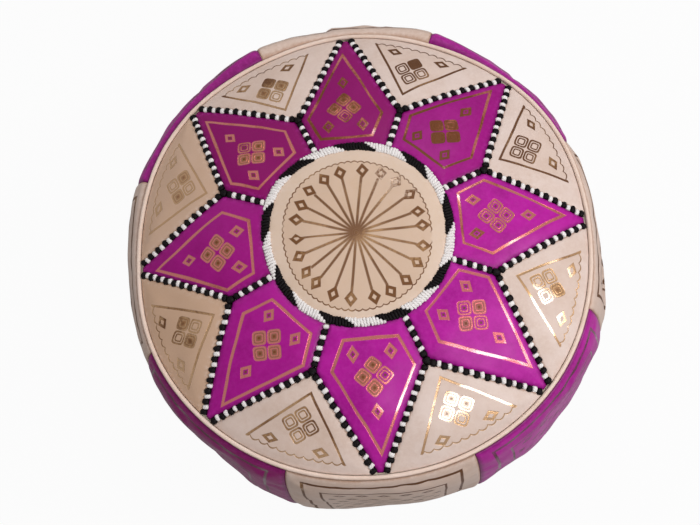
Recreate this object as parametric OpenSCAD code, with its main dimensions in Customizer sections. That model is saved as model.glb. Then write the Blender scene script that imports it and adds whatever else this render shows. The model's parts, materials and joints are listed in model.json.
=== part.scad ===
// Round stuffed leather pouf with a star top, laced seams and a zip in its base.
// The base rests on Z = 0, the axis of the pouf is Z, and the first kite points along +Y.

/* [Body] */
// Height from the floor to the crown of the top
body_h = 320; // [300:1:345]
// Diameter at the widest point, measured on the side seams
waist_d = 514; // [500:1:530]
// Height of the widest point
waist_z = 150; // [130:1:170]
// How far the top seam lies inside the widest point
rim_in = 20.5; // [16:0.5:26]
// Rise of the top from its seam to the crown
crown_rise = 42; // [34:1:48]
// Power of the curve of the top, where a higher one is flatter in the middle
crown_power = 2.6; // [2:0.1:3.2]
// Power of the curve of the sides, where a higher one is squarer
side_power = 2.3; // [2:0.1:2.8]
// How far the base seam lies inside the widest point
base_in = 30.5; // [26:0.5:36]
// Height of the base seam
base_seam_z = 12; // [10:0.5:16]

/* [Leather] */
// Thickness of the cover leather
leather_t = 1.4; // [1:0.1:1.8]
// Gap between two panels at a plain sewn seam
seam_gap = 0.5; // [0.3:0.1:0.7]
// How far a side panel swells between its seams
side_puff = 5; // [0:0.5:8]
// How far a kite panel swells between its seams
kite_puff = 3; // [0:0.5:4]
// How far a top wedge swells between its seams
wedge_puff = 2.5; // [0:0.5:4]
// How far the centre disc swells
disc_puff = 1.5; // [0:0.5:3]

/* [Star] */
// Radius of the notch where two kites and a wedge meet
notch_r = 142; // [136:1:148]
// Half the width of the star's point at the top seam
tip_half = 4.6; // [3.8:0.1:6]
// Radius of the middle of the laced ring
ring_r = 92; // [86:1:98]
// Width of the laced ring
ring_w = 9; // [7:0.5:11]

/* [Lacing] */
// Width of a lacing stitch on the star
lace_w = 6.4; // [5.6:0.2:7.2]
// Height of the lacing above the leather
lace_rise = 2.4; // [2:0.1:2.8]
// Space along the seam for one star stitch
lace_pitch = 4.95; // [4.5:0.05:5.6]
// Gap between a stitch and what lies beside it
lace_gap = 0.25; // [0.2:0.05:0.35]
// Number of ring stitches for each kite
ring_count = 18; // [16:1:20]

/* [Piping] */
// Radius of the piping, its cord and cover together
piping_r = 2.4; // [2:0.1:2.8]
// Thickness of the piping's leather cover
piping_t = 0.9; // [0.7:0.1:1.1]
// Gap between the piping and the panels beside it
piping_gap = 0.4; // [0.3:0.1:0.5]

/* [Base] */
// Width of the rounded edge between the base seam and the flat ring on the floor
foot_edge = 14; // [12:0.5:18]
// Width of the flat ring on the floor
foot_w = 12; // [10:0.5:16]
// Height of the hollow round the zip
hollow_h = 10; // [10:0.5:13]
// Gap between the edge of the hollow and the pull tab, turned over at the closed end
hollow_gap = 1.5; // [1:0.5:3]

/* [Zip] */
// Distance from the base seam to the end of the row of teeth
zip_in = 82.5; // [80:0.5:92]
// Width of the opening between the leather edges
zip_slot_w = 16; // [15:0.5:18]
// Distance between two teeth on one tape
tooth_pitch = 3.2; // [3.2:0.1:3.6]
// Length of a tooth along the zip
tooth_l = 1.4; // [1.2:0.05:1.5]
// Thickness of a tooth
tooth_h = 3; // [2.6:0.1:3.2]
// Reach of a tooth past the middle of the zip
tooth_reach = 1; // [0.8:0.1:1.1]
// Width of each tape
tape_w = 15; // [13:0.5:17]
// Thickness of the tapes
tape_t = 0.8; // [0.6:0.1:1]
// Length of the slider
slider_l = 16; // [15:0.5:17]
// Thickness of the slider's two plates
plate_t = 1.3; // [1.1:0.1:1.4]
// Length of the pull tab from its pin
pull_l = 33; // [28:1:36]
// Width of the pull tab
pull_w = 7; // [6.6:0.2:7.6]
// Thickness of the pull tab
pull_t = 1.4; // [1.2:0.1:1.4]

/* [Filling] */
// Gap between the cover and the inner bag
skin_gap = 0.8; // [0.6:0.1:1]
// Thickness of the inner bag's cloth
bag_t = 0.8; // [0.6:0.1:1]
// Gap between the inner bag and the filling
fill_gap = 0.3; // [0.2:0.1:0.4]

/* [Hidden] */

kites = 8;
sector = 360 / kites;
half = sector / 2;
$fn = 48;

MAGENTA = [0.62, 0.07, 0.50];
NATURAL = [0.82, 0.70, 0.58];
BLACK = [0.07, 0.06, 0.06];
WHITE = [0.90, 0.88, 0.86];
CLOTH = [0.86, 0.83, 0.76];
BRASS = [0.75, 0.60, 0.30];

waist_r = waist_d / 2;
rim_r = waist_r - rim_in;
base_r = waist_r - base_in;
rim_z = body_h - crown_rise;
// The piping's own centre stands a little outside the seam that it covers
piping_lift = 1.2;
// Radius where the top panels end, and where the side and base panels begin, beside the piping
top_edge_r = rim_r - piping_r - piping_gap;
side_top_r = rim_r + piping_r + piping_gap;
side_base_r = base_r + piping_r + piping_gap;
base_edge_r = base_r - piping_r - piping_gap;
// Length of the row of teeth
zip_l = 2 * (base_r - zip_in);

// Half of the channel that the lacing fills between two panels
channel = lace_w / 2 + lace_gap;
ring_in = ring_r - ring_w / 2;
ring_out = ring_r + ring_w / 2;
disc_r = ring_in - lace_gap;
tip_blunt = 1.2;
stitch_ease = 1;

// Number of spans in each grid of a swelled panel: across it, and along its parts
SPANS = 8;
KITE_NECK = 3;
KITE_SPANS = 9;
WEDGE_SPANS = 6;
SIDE_SPANS = 10;
row_ease = 0.7;
// Width at which a panel swells in full
full_width = 60;

// Rows of the zip, from the floor up
zip_z = hollow_h + leather_t + tape_t / 2;
plate_gap = 0.4;
tape_gap = 0.1;
tape_slot = tape_t + 2 * tape_gap;
tape_edge = 1.5;
tooth_w = 3.6;
bag_hollow = zip_z + tooth_h / 2 + plate_gap + plate_t + 1;

function mix(a, b, s) = a + (b - a) * s;
function smooth(s) = s * s * (3 - 2 * s);
function swell(u) = pow(max(0, sin(180 * u)), 0.7);
function turned(p, a) = [p.x * cos(a) - p.y * sin(a), p.x * sin(a) + p.y * cos(a)];
function mirrored(p) = [p.x, -p.y];
// Where the line through p along d meets the line through q along e
function meet(p, d, q, e) = p + d * (((q - p).x * e.y - (q - p).y * e.x) / (d.x * e.y - d.y * e.x));
// Distance along the unit direction d from p to the circle of radius r
function to_circle(p, d, r) = -(p * d) + sqrt(pow(p * d, 2) - p * p + r * r);

// The top: height and fall of its surface at radius r, and a point above or below it
function top_z(r) = rim_z + crown_rise * (1 - pow(r / rim_r, crown_power));
function top_fall(r) = crown_rise * crown_power / rim_r * pow(r / rim_r, crown_power - 1);
function top_normal(p) = let (r = norm(p), f = top_fall(r), q = r > 0 ? p / r : [1, 0])
  [q.x * f, q.y * f, 1] / sqrt(1 + f * f);
function top_point(p, lift) = [p.x, p.y, top_z(norm(p))] + top_normal(p) * lift;

// The sides: a point of the seam line at the angle t, from 0 at the top seam to 180 at the base
function side_rz(t) = let (end_r = t < 90 ? rim_r : base_r, end_z = t < 90 ? rim_z : base_seam_z)
  [mix(end_r, waist_r, pow(sin(t), 2 / side_power)),
   mix(waist_z, end_z, pow(abs(cos(t)), 2 / side_power))];
function side_start(r, end_r) = asin(pow((r - end_r) / (waist_r - end_r), side_power / 2));
side_t0 = side_start(side_top_r, rim_r);
side_t1 = 180 - side_start(side_base_r, base_r);
function side_normal(t) = let (d = side_rz(min(180, t + 1)) - side_rz(max(0, t - 1)))
  [-d.y, d.x] / norm(d);
function side_point(a, t, lift) = let (q = side_rz(t) + side_normal(t) * lift)
  [q.x * cos(a), q.x * sin(a), q.y];

// The base: height of its under surface at radius r, with a hollow of height h in the middle
function base_z(r, h) =
  r <= hollow_r ? h :
  r < foot_in ? h * (1 - smooth((r - hollow_r) / (foot_in - hollow_r))) :
  r <= foot_out ? 0 :
  base_seam_z * pow((r - foot_out) / (base_edge_r - foot_out), 2);

TOP_STEPS = 14;
SIDE_STEPS = 24;
EDGE_STEPS = 5;
function top_line() = [for (i = [0:TOP_STEPS]) let (r = (rim_r - seam_gap) * i / TOP_STEPS) [r, top_z(r)]];
function side_line(t0, t1) = [for (i = [0:SIDE_STEPS]) side_rz(mix(t0, t1, i / SIDE_STEPS))];
function base_line(h) = [
  for (i = [EDGE_STEPS:-1:1]) let (r = mix(foot_out, base_edge_r, i / EDGE_STEPS)) [r, base_z(r, h)],
  [foot_out, 0], [foot_in, 0],
  for (i = [EDGE_STEPS - 1:-1:0]) let (r = mix(hollow_r, foot_in, i / EDGE_STEPS)) [r, base_z(r, h)],
  [0, h]];

// Moves a line of points to its right by d, so that a section drawn clockwise shrinks
function right_of(d) = let (n = norm(d)) [d.y, -d.x] / n;
function inset(line, d) = [for (i = [0:len(line) - 1])
  let (before = i > 0 ? right_of(line[i] - line[i - 1]) : [0, 0],
       after = i < len(line) - 1 ? right_of(line[i + 1] - line[i]) : [0, 0],
       n = before + after, moved = line[i] + n / norm(n) * d)
  [line[i].x == 0 ? 0 : moved.x, moved.y]];
function backwards(line) = [for (i = [len(line) - 1:-1:0]) line[i]];

// A shell turned about Z, between a line and the same line moved inwards by t
module turned_shell(line, t) {
  rotate_extrude() polygon(concat(line, backwards(inset(line, t))));
}

// A closed sheet between two grids of points, whose faces are triangles
module sheet(nu, nv, outer, inner) {
  n = (nu + 1) * (nv + 1);
  points = [
    for (j = [0:nv]) for (i = [0:nu]) outer(i / nu, j / nv),
    for (j = [0:nv]) for (i = [0:nu]) inner(i / nu, j / nv)];
  at = function(i, j) j * (nu + 1) + i;
  faces = [
    for (j = [0:nv - 1]) for (i = [0:nu - 1])
      let (a = at(i, j), b = at(i + 1, j), c = at(i + 1, j + 1), d = at(i, j + 1))
      each [[a, d, c], [a, c, b], [n + a, n + b, n + c], [n + a, n + c, n + d]],
    for (i = [0:nu - 1]) let (a = at(i, 0), b = at(i + 1, 0), c = at(i + 1, nv), d = at(i, nv))
      each [[a, b, n + b], [a, n + b, n + a], [c, d, n + d], [c, n + d, n + c]],
    for (j = [0:nv - 1]) let (a = at(0, j), d = at(0, j + 1), b = at(nu, j), c = at(nu, j + 1))
      each [[d, a, n + a], [d, n + a, n + d], [b, c, n + c], [b, n + c, n + b]]];
  polyhedron(points, faces);
}

// The seam lines of one kite, whose axis is X: the notch and the end at the top seam
notch = turned([notch_r, 0], half);
tip_end = [sqrt(top_edge_r * top_edge_r - tip_half * tip_half), tip_half];
kite_seam = (tip_end - notch) / norm(tip_end - notch);
function beside(d) = [d.y, -d.x];

module centre_disc() {
  line = [for (i = [0:TOP_STEPS]) let (r = disc_r * i / TOP_STEPS)
    [r, top_z(r) + disc_puff * (1 - pow(r / disc_r, 2))]];
  color(NATURAL) turned_shell(line, leather_t);
}

module kite_panel(k) {
  spoke = [cos(half), sin(half)];
  neck = beside(spoke) * channel;
  low = neck + spoke * to_circle(neck, spoke, ring_out + lace_gap);
  side = notch + beside(kite_seam) * channel;
  corner = meet(neck, spoke, side, kite_seam);
  tip = side + kite_seam * ((top_edge_r - tip_blunt - side.x) / kite_seam.x);
  low_a = atan2(low.y, low.x);
  split = KITE_NECK / KITE_SPANS;
  edge = function(v) v < split ? mix(low, corner, v / split)
    : mix(corner, tip, (v - split) / (1 - split));
  plan = function(u, v)
    let (e = edge(v), chord = mix(low, mirrored(low), u), a = low_a * (1 - 2 * u))
    mix(e, mirrored(e), u)
      + (norm(low) * [cos(a), sin(a)] - chord) * max(0, 1 - v / split);
  rise = function(u, v) kite_puff * swell(u) * swell(v) * min(1, 2 * edge(v).y / full_width);
  color(MAGENTA) rotate([0, 0, 90 - sector * (k - 1)])
    sheet(SPANS, KITE_SPANS, function(u, v) top_point(plan(u, v), rise(u, v)),
      function(u, v) top_point(plan(u, v), rise(u, v) - leather_t));
}

module top_wedge(k) {
  apex = [notch_r, 0];
  far = turned(mirrored(tip_end), half);
  seam = (far - apex) / norm(far - apex);
  start = apex + beside(seam) * channel;
  near = start + seam * ((tip_blunt - start.y) / seam.y);
  outer = start + seam * to_circle(start, seam, top_edge_r);
  outer_a = atan2(outer.y, outer.x);
  plan = function(u, v)
    let (e = mix(near, outer, v), chord = mix(outer, mirrored(outer), u), a = outer_a * (1 - 2 * u))
    mix(e, mirrored(e), u) + (top_edge_r * [cos(a), sin(a)] - chord) * v;
  rise = function(u, v)
    wedge_puff * swell(u) * swell(v) * min(1, 2 * mix(near.y, outer.y, v) / full_width);
  color(NATURAL) rotate([0, 0, 90 - sector * (k - 0.5)])
    sheet(SPANS, WEDGE_SPANS, function(u, v) top_point(plan(u, v), rise(u, v)),
      function(u, v) top_point(plan(u, v), rise(u, v) - leather_t));
}

module side_panel(k) {
  span = function(t) half - seam_gap / 2 / side_rz(t).x * 180 / PI;
  // The rows lie closer together at the two seams, where the side bends most
  row = function(v) mix(v, smooth(v), row_ease);
  place = function(u, v, lift) let (t = mix(side_t0, side_t1, row(v)))
    side_point(span(t) * (1 - 2 * u), t, side_puff * swell(u) * swell(row(v)) + lift);
  color(k % 2 == 1 ? NATURAL : MAGENTA) rotate([0, 0, 90 - sector * (k - 1)])
    sheet(SPANS, SIDE_SPANS, function(u, v) place(u, v, 0), function(u, v) place(u, v, -leather_t));
}

// One stitch: a half-round bar along X with eased ends, its flat under side below
module stitch(length, width, rise) {
  r = width / 2;
  ease = min(stitch_ease, length / 3);
  translate([0, 0, rise - r]) rotate([0, 90, 0]) rotate([0, 0, 90])
    rotate_extrude(angle = 180) polygon([[0, -length / 2], [r - ease / 2, -length / 2],
      [r, -length / 2 + ease], [r, length / 2 - ease], [r - ease / 2, length / 2], [0, length / 2]]);
}

// Places its children on the top at plan point p, with X along the plan direction d
module on_top(p, d) {
  n = top_normal(p);
  level = [d.x, d.y, 0];
  x = let (t = level - n * (level * n)) t / norm(t);
  y = cross(n, x);
  o = top_point(p, 0);
  multmatrix([[x.x, y.x, n.x, o.x], [x.y, y.y, n.y, o.y], [x.z, y.z, n.z, o.z], [0, 0, 0, 1]])
    children();
}

// The stitches of one colour on the seam from p along d: they alternate, and black is first
module seam_stitches(p, d, length, colour) {
  count = floor(length / lace_pitch);
  step = length / count;
  for (i = [0:count - 1]) if (i % 2 == colour)
    on_top(p + d * step * (i + 0.5), d) stitch(step - lace_gap, lace_w, lace_rise);
}

knot_space = lace_w * 0.62;
module star_lacing(colour) {
  start = ring_out + lace_gap;
  spoke = [cos(half), sin(half)];
  run = norm(tip_end - notch) - knot_space - tip_blunt;
  for (k = [0:kites - 1]) rotate([0, 0, 90 - sector * k]) {
    seam_stitches(start * spoke, spoke, notch_r - knot_space - start, 1 - colour);
    for (side = [0, 1]) mirror([0, side, 0])
      seam_stitches(notch + kite_seam * knot_space, kite_seam, run, colour);
    if (colour == 0) on_top(notch, spoke) knot();
  }
}

// The knot where three laced seams meet
module knot() {
  intersection() {
    translate([0, 0, lace_rise - lace_w / 2]) sphere(lace_w / 2 - lace_gap / 2, $fn = 32);
    translate([-lace_w, -lace_w, -leather_t]) cube([2 * lace_w, 2 * lace_w, 2 * lace_w]);
  }
}

// The ring of whip stitches runs in slanted bands: share of a kite's sector that is black, and the slant
ring_black = 0.55;
ring_slant = 0.22;
ring_turn = 0.385;
shortest = 1.6;
module ring_lacing(colour) {
  step = sector / ring_count;
  width = ring_r * PI / 180 * step - lace_gap;
  for (k = [0:kites - 1]) for (i = [0:ring_count - 1]) {
    q = (i + 0.5) / ring_count;
    first = q < ring_slant ? q / ring_slant
      : q > ring_black && q < ring_black + ring_slant ? (q - ring_black) / ring_slant : 1;
    outer_colour = q < ring_black ? 0 : 1;
    inner_colour = q < ring_slant || q > ring_black + ring_slant ? 1 : 0;
    cut = first * ring_w < shortest ? 0 : (1 - first) * ring_w < shortest ? 1 : first;
    a = 90 - sector * (k + q - ring_turn);
    d = [cos(a), sin(a)];
    if (cut > 0 && outer_colour == colour) {
      length = cut * ring_w - (cut < 1 ? lace_gap : 0);
      on_top(d * (ring_out - length / 2), d) stitch(length, width, lace_rise - 0.4);
    }
    if (cut < 1 && (cut == 0 ? (first < 1 ? inner_colour : outer_colour) : inner_colour) == colour) {
      length = (1 - cut) * ring_w;
      on_top(d * (ring_in + length / 2), d) stitch(length, width, lace_rise - 0.4);
    }
  }
}

// The piping at a seam: a leather cover round a cord
module piping_at(r, z) {
  rotate_extrude() translate([r, z]) children();
}
module piping_cover() {
  color(NATURAL) difference() {
    circle(piping_r);
    circle(piping_r - piping_t);
  }
}
module piping_cord() {
  color(CLOTH) circle(piping_r - piping_t - 0.1);
}
module rim_piping(part) {
  piping_at(rim_r, rim_z + piping_lift) {
    if (part == "cover") piping_cover();
    else piping_cord();
  }
}
module base_piping(part) {
  piping_at(base_r, base_seam_z - piping_lift) {
    if (part == "cover") piping_cover();
    else piping_cord();
  }
}

// Half of the base leather, on the side of Y that side names, cut out along the zip
module base_panel(side) {
  reach = zip_l / 2 + slider_l / 2;
  color(NATURAL) difference() {
    intersection() {
      turned_shell(base_line(hollow_h), leather_t);
      translate([-base_r, side > 0 ? seam_gap / 2 : -seam_gap / 2 - 2 * base_r, -1])
        cube(2 * base_r);
    }
    translate([-reach, -zip_slot_w / 2, 0]) cube([2 * reach, zip_slot_w, 2 * hollow_h]);
  }
}

// A block of the zip's metal on one tape, along X from x, with a slot for the tape's edge
module tape_clamp(x, length, inner, outer) {
  translate([x, 0, zip_z]) difference() {
    translate([0, inner, -tooth_h / 2]) cube([length, outer - inner, tooth_h]);
    translate([-1, tape_edge - tape_gap, -tape_slot / 2]) cube([length + 2, outer, tape_slot]);
  }
}

tooth_count = floor((zip_l - tooth_pitch / 2) / tooth_pitch);
module zip_tape(side) {
  reach = zip_l / 2 + slider_l / 2 - 1;
  color([0.16, 0.13, 0.11]) scale([1, side, 1])
    translate([-reach, tape_edge, zip_z - tape_t / 2]) cube([2 * reach, tape_w, tape_t]);
}
module zip_teeth(side) {
  offset_x = side > 0 ? 0 : tooth_pitch / 2;
  color(BRASS) mirror([0, side > 0 ? 0 : 1, 0])
    for (i = [0:tooth_count - 1])
      tape_clamp(-zip_l / 2 + offset_x + i * tooth_pitch, tooth_l, -tooth_reach, tooth_w);
}
module zip_top_stops() {
  color(BRASS) for (side = [0, 1]) mirror([0, side, 0])
    tape_clamp(stop_x, 2.4, tape_edge - tape_gap - 0.6, tooth_w);
}
module zip_bottom_stop() {
  color(BRASS) for (side = [0, 1]) mirror([0, side, 0])
    tape_clamp(-zip_l / 2 - 3.4, 3, 0, tooth_w);
}

// The slider rests at the closed end, with its divider just past the last tooth
divider_l = 4;
last_tooth = -zip_l / 2 + tooth_pitch / 2 + (tooth_count - 1) * tooth_pitch + tooth_l;
divider_x = last_tooth + 0.8;
slider_x = divider_x + divider_l + 0.8 - slider_l;
stop_x = slider_x + slider_l + 0.5;
rear_half = tooth_w + plate_gap + 0.9;
front_half = rear_half + 1.2;
flange_t = 0.9;
plate_z = tooth_h / 2 + plate_gap;

// The pull tab's pin, and the base leather round it: the hollow, and the flat ring on the floor
pin_r = 0.75;
pin_x = slider_x + slider_l / 2;
hollow_r = pin_x + pull_l + hollow_gap;
foot_out = base_edge_r - foot_edge;
foot_in = foot_out - foot_w;

// Plan of a slider plate, narrow behind and wide in front
module slider_plan(shrink) {
  polygon([[0.6, -rear_half + shrink], [slider_l * 0.45, -rear_half + shrink],
    [slider_l * 0.75, -front_half + shrink], [slider_l - 1.5, -front_half + shrink],
    [slider_l, -front_half + 1.5 + shrink], [slider_l, front_half - 1.5 - shrink],
    [slider_l - 1.5, front_half - shrink], [slider_l * 0.75, front_half - shrink],
    [slider_l * 0.45, rear_half - shrink], [0.6, rear_half - shrink]]);
}
// One plate with its two flanges, lying under the teeth
module slider_plate() {
  translate([0, 0, -plate_z - plate_t]) linear_extrude(plate_t) slider_plan(0);
  translate([0, 0, -plate_z - 0.01]) linear_extrude(plate_z - tape_slot / 2 - plate_gap)
    difference() {
      slider_plan(0);
      translate([-1, 0]) scale([1 + 2 / slider_l, 1]) slider_plan(flange_t);
    }
}
crown_l = 12;
crown_w = 2.5;
crown_drop = 3.3;
pin_z = zip_z - plate_z - plate_t - pin_r - 0.35;
module zip_slider_body() {
  under = zip_z - plate_z - plate_t;
  color(BRASS) {
    translate([slider_x, 0, zip_z]) {
      slider_plate();
      mirror([0, 0, 1]) slider_plate();
      translate([divider_x - slider_x, 0, -plate_z - 0.01]) linear_extrude(2 * plate_z + 0.02)
        polygon([[0, 0], [divider_l / 2, -1.1], [divider_l, -0.8], [divider_l, 0.8], [divider_l / 2, 1.1]]);
    }
    difference() {
      translate([pin_x - crown_l / 2, -crown_w / 2, under - crown_drop])
        cube([crown_l, crown_w, crown_drop + 0.01]);
      translate([pin_x - crown_l / 2 + 2.4, -crown_w, under - 2.1])
        cube([crown_l - 4.8, 2 * crown_w, 2.1]);
      for (end = [-1, 1]) translate([pin_x + end * crown_l / 2, 0, under - crown_drop])
        rotate([0, 45, 0]) cube([1.8, 2 * crown_w, 1.8], center = true);
    }
  }
}
module zip_pull_tab() {
  arm = 1.2;
  window = crown_l / 2 + 0.7;
  color(BRASS) {
    translate([pin_x, 0, pin_z]) rotate([90, 0, 0]) cylinder(r = pin_r, h = pull_w - 0.02, center = true);
    translate([pin_x, 0, pin_z - pull_t / 2]) difference() {
      linear_extrude(pull_t) difference() {
        union() {
          translate([-pull_l + pull_w / 2, -pull_w / 2]) square([pull_l - pull_w / 2, pull_w]);
          translate([-pull_l + pull_w / 2, 0]) circle(pull_w / 2);
        }
        translate([-window, -pull_w / 2 + arm]) square([window + 1, pull_w - 2 * arm]);
        translate([-pull_l + pull_w / 2 + 0.6, 0]) circle(1.8);
      }
    }
  }
}

// The inner bag and its filling, whose base is hollowed higher so that the slider clears it
bag_inset = leather_t + skin_gap;
fill_inset = bag_inset + bag_t + fill_gap;
bag_h = bag_hollow - bag_inset;
bag_cut_z = rim_z - bag_inset - bag_t - 2;
bag_cut_r = base_edge_r - bag_inset - 2;
profile = concat(top_line(), side_line(2, 178), base_line(bag_h));
module inner_bag(part) {
  color(CLOTH) rotate_extrude() intersection() {
    difference() {
      polygon(inset(profile, bag_inset));
      polygon(inset(profile, bag_inset + bag_t));
    }
    if (part == "top") translate([0, bag_cut_z]) square([waist_r, body_h]);
    if (part == "side") translate([bag_cut_r, 0]) square([waist_r, bag_cut_z - seam_gap]);
    if (part == "base") square([bag_cut_r - seam_gap, waist_z]);
  }
}
module filling() {
  color([0.93, 0.91, 0.86]) rotate_extrude() polygon(inset(profile, fill_inset));
}

centre_disc();
for (k = [1:kites]) {
  kite_panel(k);
  top_wedge(k);
  side_panel(k);
}
color(BLACK) star_lacing(0);  // star_lacing_black
color(WHITE) star_lacing(1);  // star_lacing_white
color(BLACK) ring_lacing(0);  // ring_lacing_black
color(WHITE) ring_lacing(1);  // ring_lacing_white
rim_piping("cover");  // rim_piping_cover
rim_piping("cord");  // rim_piping_cord
base_piping("cover");  // base_piping_cover
base_piping("cord");  // base_piping_cord
base_panel(-1);  // base_panel_front
base_panel(1);  // base_panel_back
zip_tape(-1);  // zip_tape_front
zip_tape(1);  // zip_tape_back
zip_teeth(-1);  // zip_teeth_front
zip_teeth(1);  // zip_teeth_back
zip_top_stops();
zip_bottom_stop();
zip_slider_body();
zip_pull_tab();
inner_bag("top");  // inner_bag_top
inner_bag("side");  // inner_bag_side
inner_bag("base");  // inner_bag_base
filling();
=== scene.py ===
"""Looks of a round stuffed leather pouf: laced star, swelling sides, zipped base, bag and filling."""

import json
import logging
import math
from dataclasses import dataclass, field, replace
from enum import Enum
from typing import Callable, Iterable, Sequence

import bpy
import numpy as np
from mathutils import Matrix, Quaternion, Vector

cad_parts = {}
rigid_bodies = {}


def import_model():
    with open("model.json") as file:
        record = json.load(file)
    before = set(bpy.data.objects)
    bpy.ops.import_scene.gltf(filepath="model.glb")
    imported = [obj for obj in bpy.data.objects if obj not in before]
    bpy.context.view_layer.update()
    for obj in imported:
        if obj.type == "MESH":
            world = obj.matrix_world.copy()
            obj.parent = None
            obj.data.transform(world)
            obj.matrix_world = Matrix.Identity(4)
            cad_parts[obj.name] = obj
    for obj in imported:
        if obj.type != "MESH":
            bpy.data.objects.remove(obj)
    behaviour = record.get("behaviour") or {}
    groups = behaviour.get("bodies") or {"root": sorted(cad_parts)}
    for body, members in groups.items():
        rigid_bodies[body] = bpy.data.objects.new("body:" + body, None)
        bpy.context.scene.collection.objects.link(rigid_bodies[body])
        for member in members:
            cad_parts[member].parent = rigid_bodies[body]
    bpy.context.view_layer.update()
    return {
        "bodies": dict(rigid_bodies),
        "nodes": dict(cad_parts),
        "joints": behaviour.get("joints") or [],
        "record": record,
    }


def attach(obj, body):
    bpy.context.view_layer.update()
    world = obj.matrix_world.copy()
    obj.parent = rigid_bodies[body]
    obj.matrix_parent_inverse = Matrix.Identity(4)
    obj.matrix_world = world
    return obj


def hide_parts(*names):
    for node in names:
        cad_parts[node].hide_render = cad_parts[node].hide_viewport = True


log = logging.getLogger("pouf")

Array = np.ndarray
Colour = tuple[float, float, float]
Piece = bpy.types.Object
Material = bpy.types.Material
Node = bpy.types.Node
Socket = bpy.types.NodeSocket
Tree = bpy.types.NodeTree
KITES = 8
SECTOR = math.tau / KITES
TINY = 1e-9
MIRRORED = np.array([1, -1])


class Stamp(Enum):
    """Which ornament the foil draws on a leather."""

    NONE = "none"
    KITE = "kite"
    WEDGE = "wedge"
    DISC = "disc"
    SIDE = "side"


def linear(red: int, green: int, blue: int) -> Colour:
    """Turns a display colour of 0 to 255 into the linear values that sockets take."""
    def one(value: float) -> float:
        """Turns one channel."""
        return value / 12.92 if value <= 0.04045 else ((value + 0.055) / 1.055) ** 2.4
    return one(red / 255), one(green / 255), one(blue / 255)


def mix(low: Array | float, high: Array | float, share: Array | float) -> Array | float:
    """Goes from low to high as share goes from 0 to 1."""
    return low + (high - low) * share


def smooth(share: Array) -> Array:
    """Eases a share between 0 and 1, and holds it outside."""
    share = np.clip(share, 0.0, 1.0)
    return share * share * (3 - 2 * share)


def spaced(count: int, pull: float) -> Array:
    """Places count + 1 marks from 0 to 1, drawn towards both ends by pull from 0 to 1."""
    even = np.linspace(0.0, 1.0, count + 1)
    return mix(even, 0.5 - 0.5 * np.cos(np.pi * even), pull)


def turned(points: Array, angle: float) -> Array:
    """Turns points about Z by an angle."""
    out = points.copy()
    out[..., 0] = points[..., 0] * math.cos(angle) - points[..., 1] * math.sin(angle)
    out[..., 1] = points[..., 0] * math.sin(angle) + points[..., 1] * math.cos(angle)
    return out


def heading(angle: Array | float) -> Array:
    """Plan directions at angles about Z."""
    return np.stack([np.cos(angle), np.sin(angle)], -1)


def polar(radius: Array | float, angle: Array | float, height: Array | float) -> Array:
    """Points at radii, angles about Z and heights."""
    parts = np.broadcast_arrays(radius * np.cos(angle), radius * np.sin(angle), height)
    return np.stack(parts, -1)


def with_third(plan: Array, third: Array | float) -> Array:
    """Plan points with a third number beside the two."""
    return np.concatenate([plan, np.broadcast_to(third, plan.shape[:-1])[..., None]], -1)


def folded(plan: Array) -> Array:
    """Plan points brought to the left side of the X axis."""
    return np.stack([plan[..., 0], np.abs(plan[..., 1])], -1)


def steps_round(count: int) -> Array:
    """Even turns through a full circle."""
    return np.arange(count) * math.tau / count


def bowed(corner: Array, radius: float, across: Array) -> Array:
    """How far the line from a corner to its mirror image moves to lie on a circle."""
    turn = math.atan2(corner[1], corner[0]) * (1 - 2 * across)
    return radius * heading(turn) - mix(corner, corner * MIRRORED, across[..., None])


def unit(vectors: Array) -> Array:
    """Scales vectors to length 1."""
    return vectors / np.linalg.norm(vectors, axis=-1, keepdims=True)


def spline(values: Array, place: Array, ring: bool = False) -> Array:
    """Reads a smooth curve through even rows of values.

    Args:
        values: the rows, which may hold more than one number each.
        place: where to read, counted in rows.
        ring: whether the first row follows the last.

    Returns:
        What the curve has at each place.
    """
    count = len(values)
    low = np.floor(place).astype(int)
    if not ring:
        low = np.clip(low, 0, count - 2)
    share = (place - low).reshape(place.shape + (1,) * (values.ndim - 1))
    index = [low + step for step in (-1, 0, 1, 2)]
    before, first, last, after = (values[i % count if ring else np.clip(i, 0, count - 1)] for i in index)
    curve = 2 * before - 5 * first + 4 * last - after + share * (3 * (first - last) + after - before)
    return first + 0.5 * share * (last - before + share * curve)


@dataclass(frozen=True)
class Waves:
    """A seeded sum of sine waves through space, for the slow unevenness of stuffed leather."""

    seed: int
    shortest: float
    longest: float
    height: float
    count: int = 14

    def at(self, points: Array) -> Array:
        """Height of the waves at points in metres."""
        rng = np.random.default_rng(self.seed)
        total = np.zeros(points.shape[:-1])
        for _ in range(self.count):
            wave = rng.uniform(self.shortest, self.longest)
            direction = unit(rng.normal(size=3)) * math.tau / wave
            total += np.sin(points @ direction + rng.uniform(0, math.tau)) * wave
        return total * self.height / (self.count ** 0.5 * (self.shortest + self.longest) / 2)


# Geometry of the pouf, in metres, as the solids have it


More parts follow.
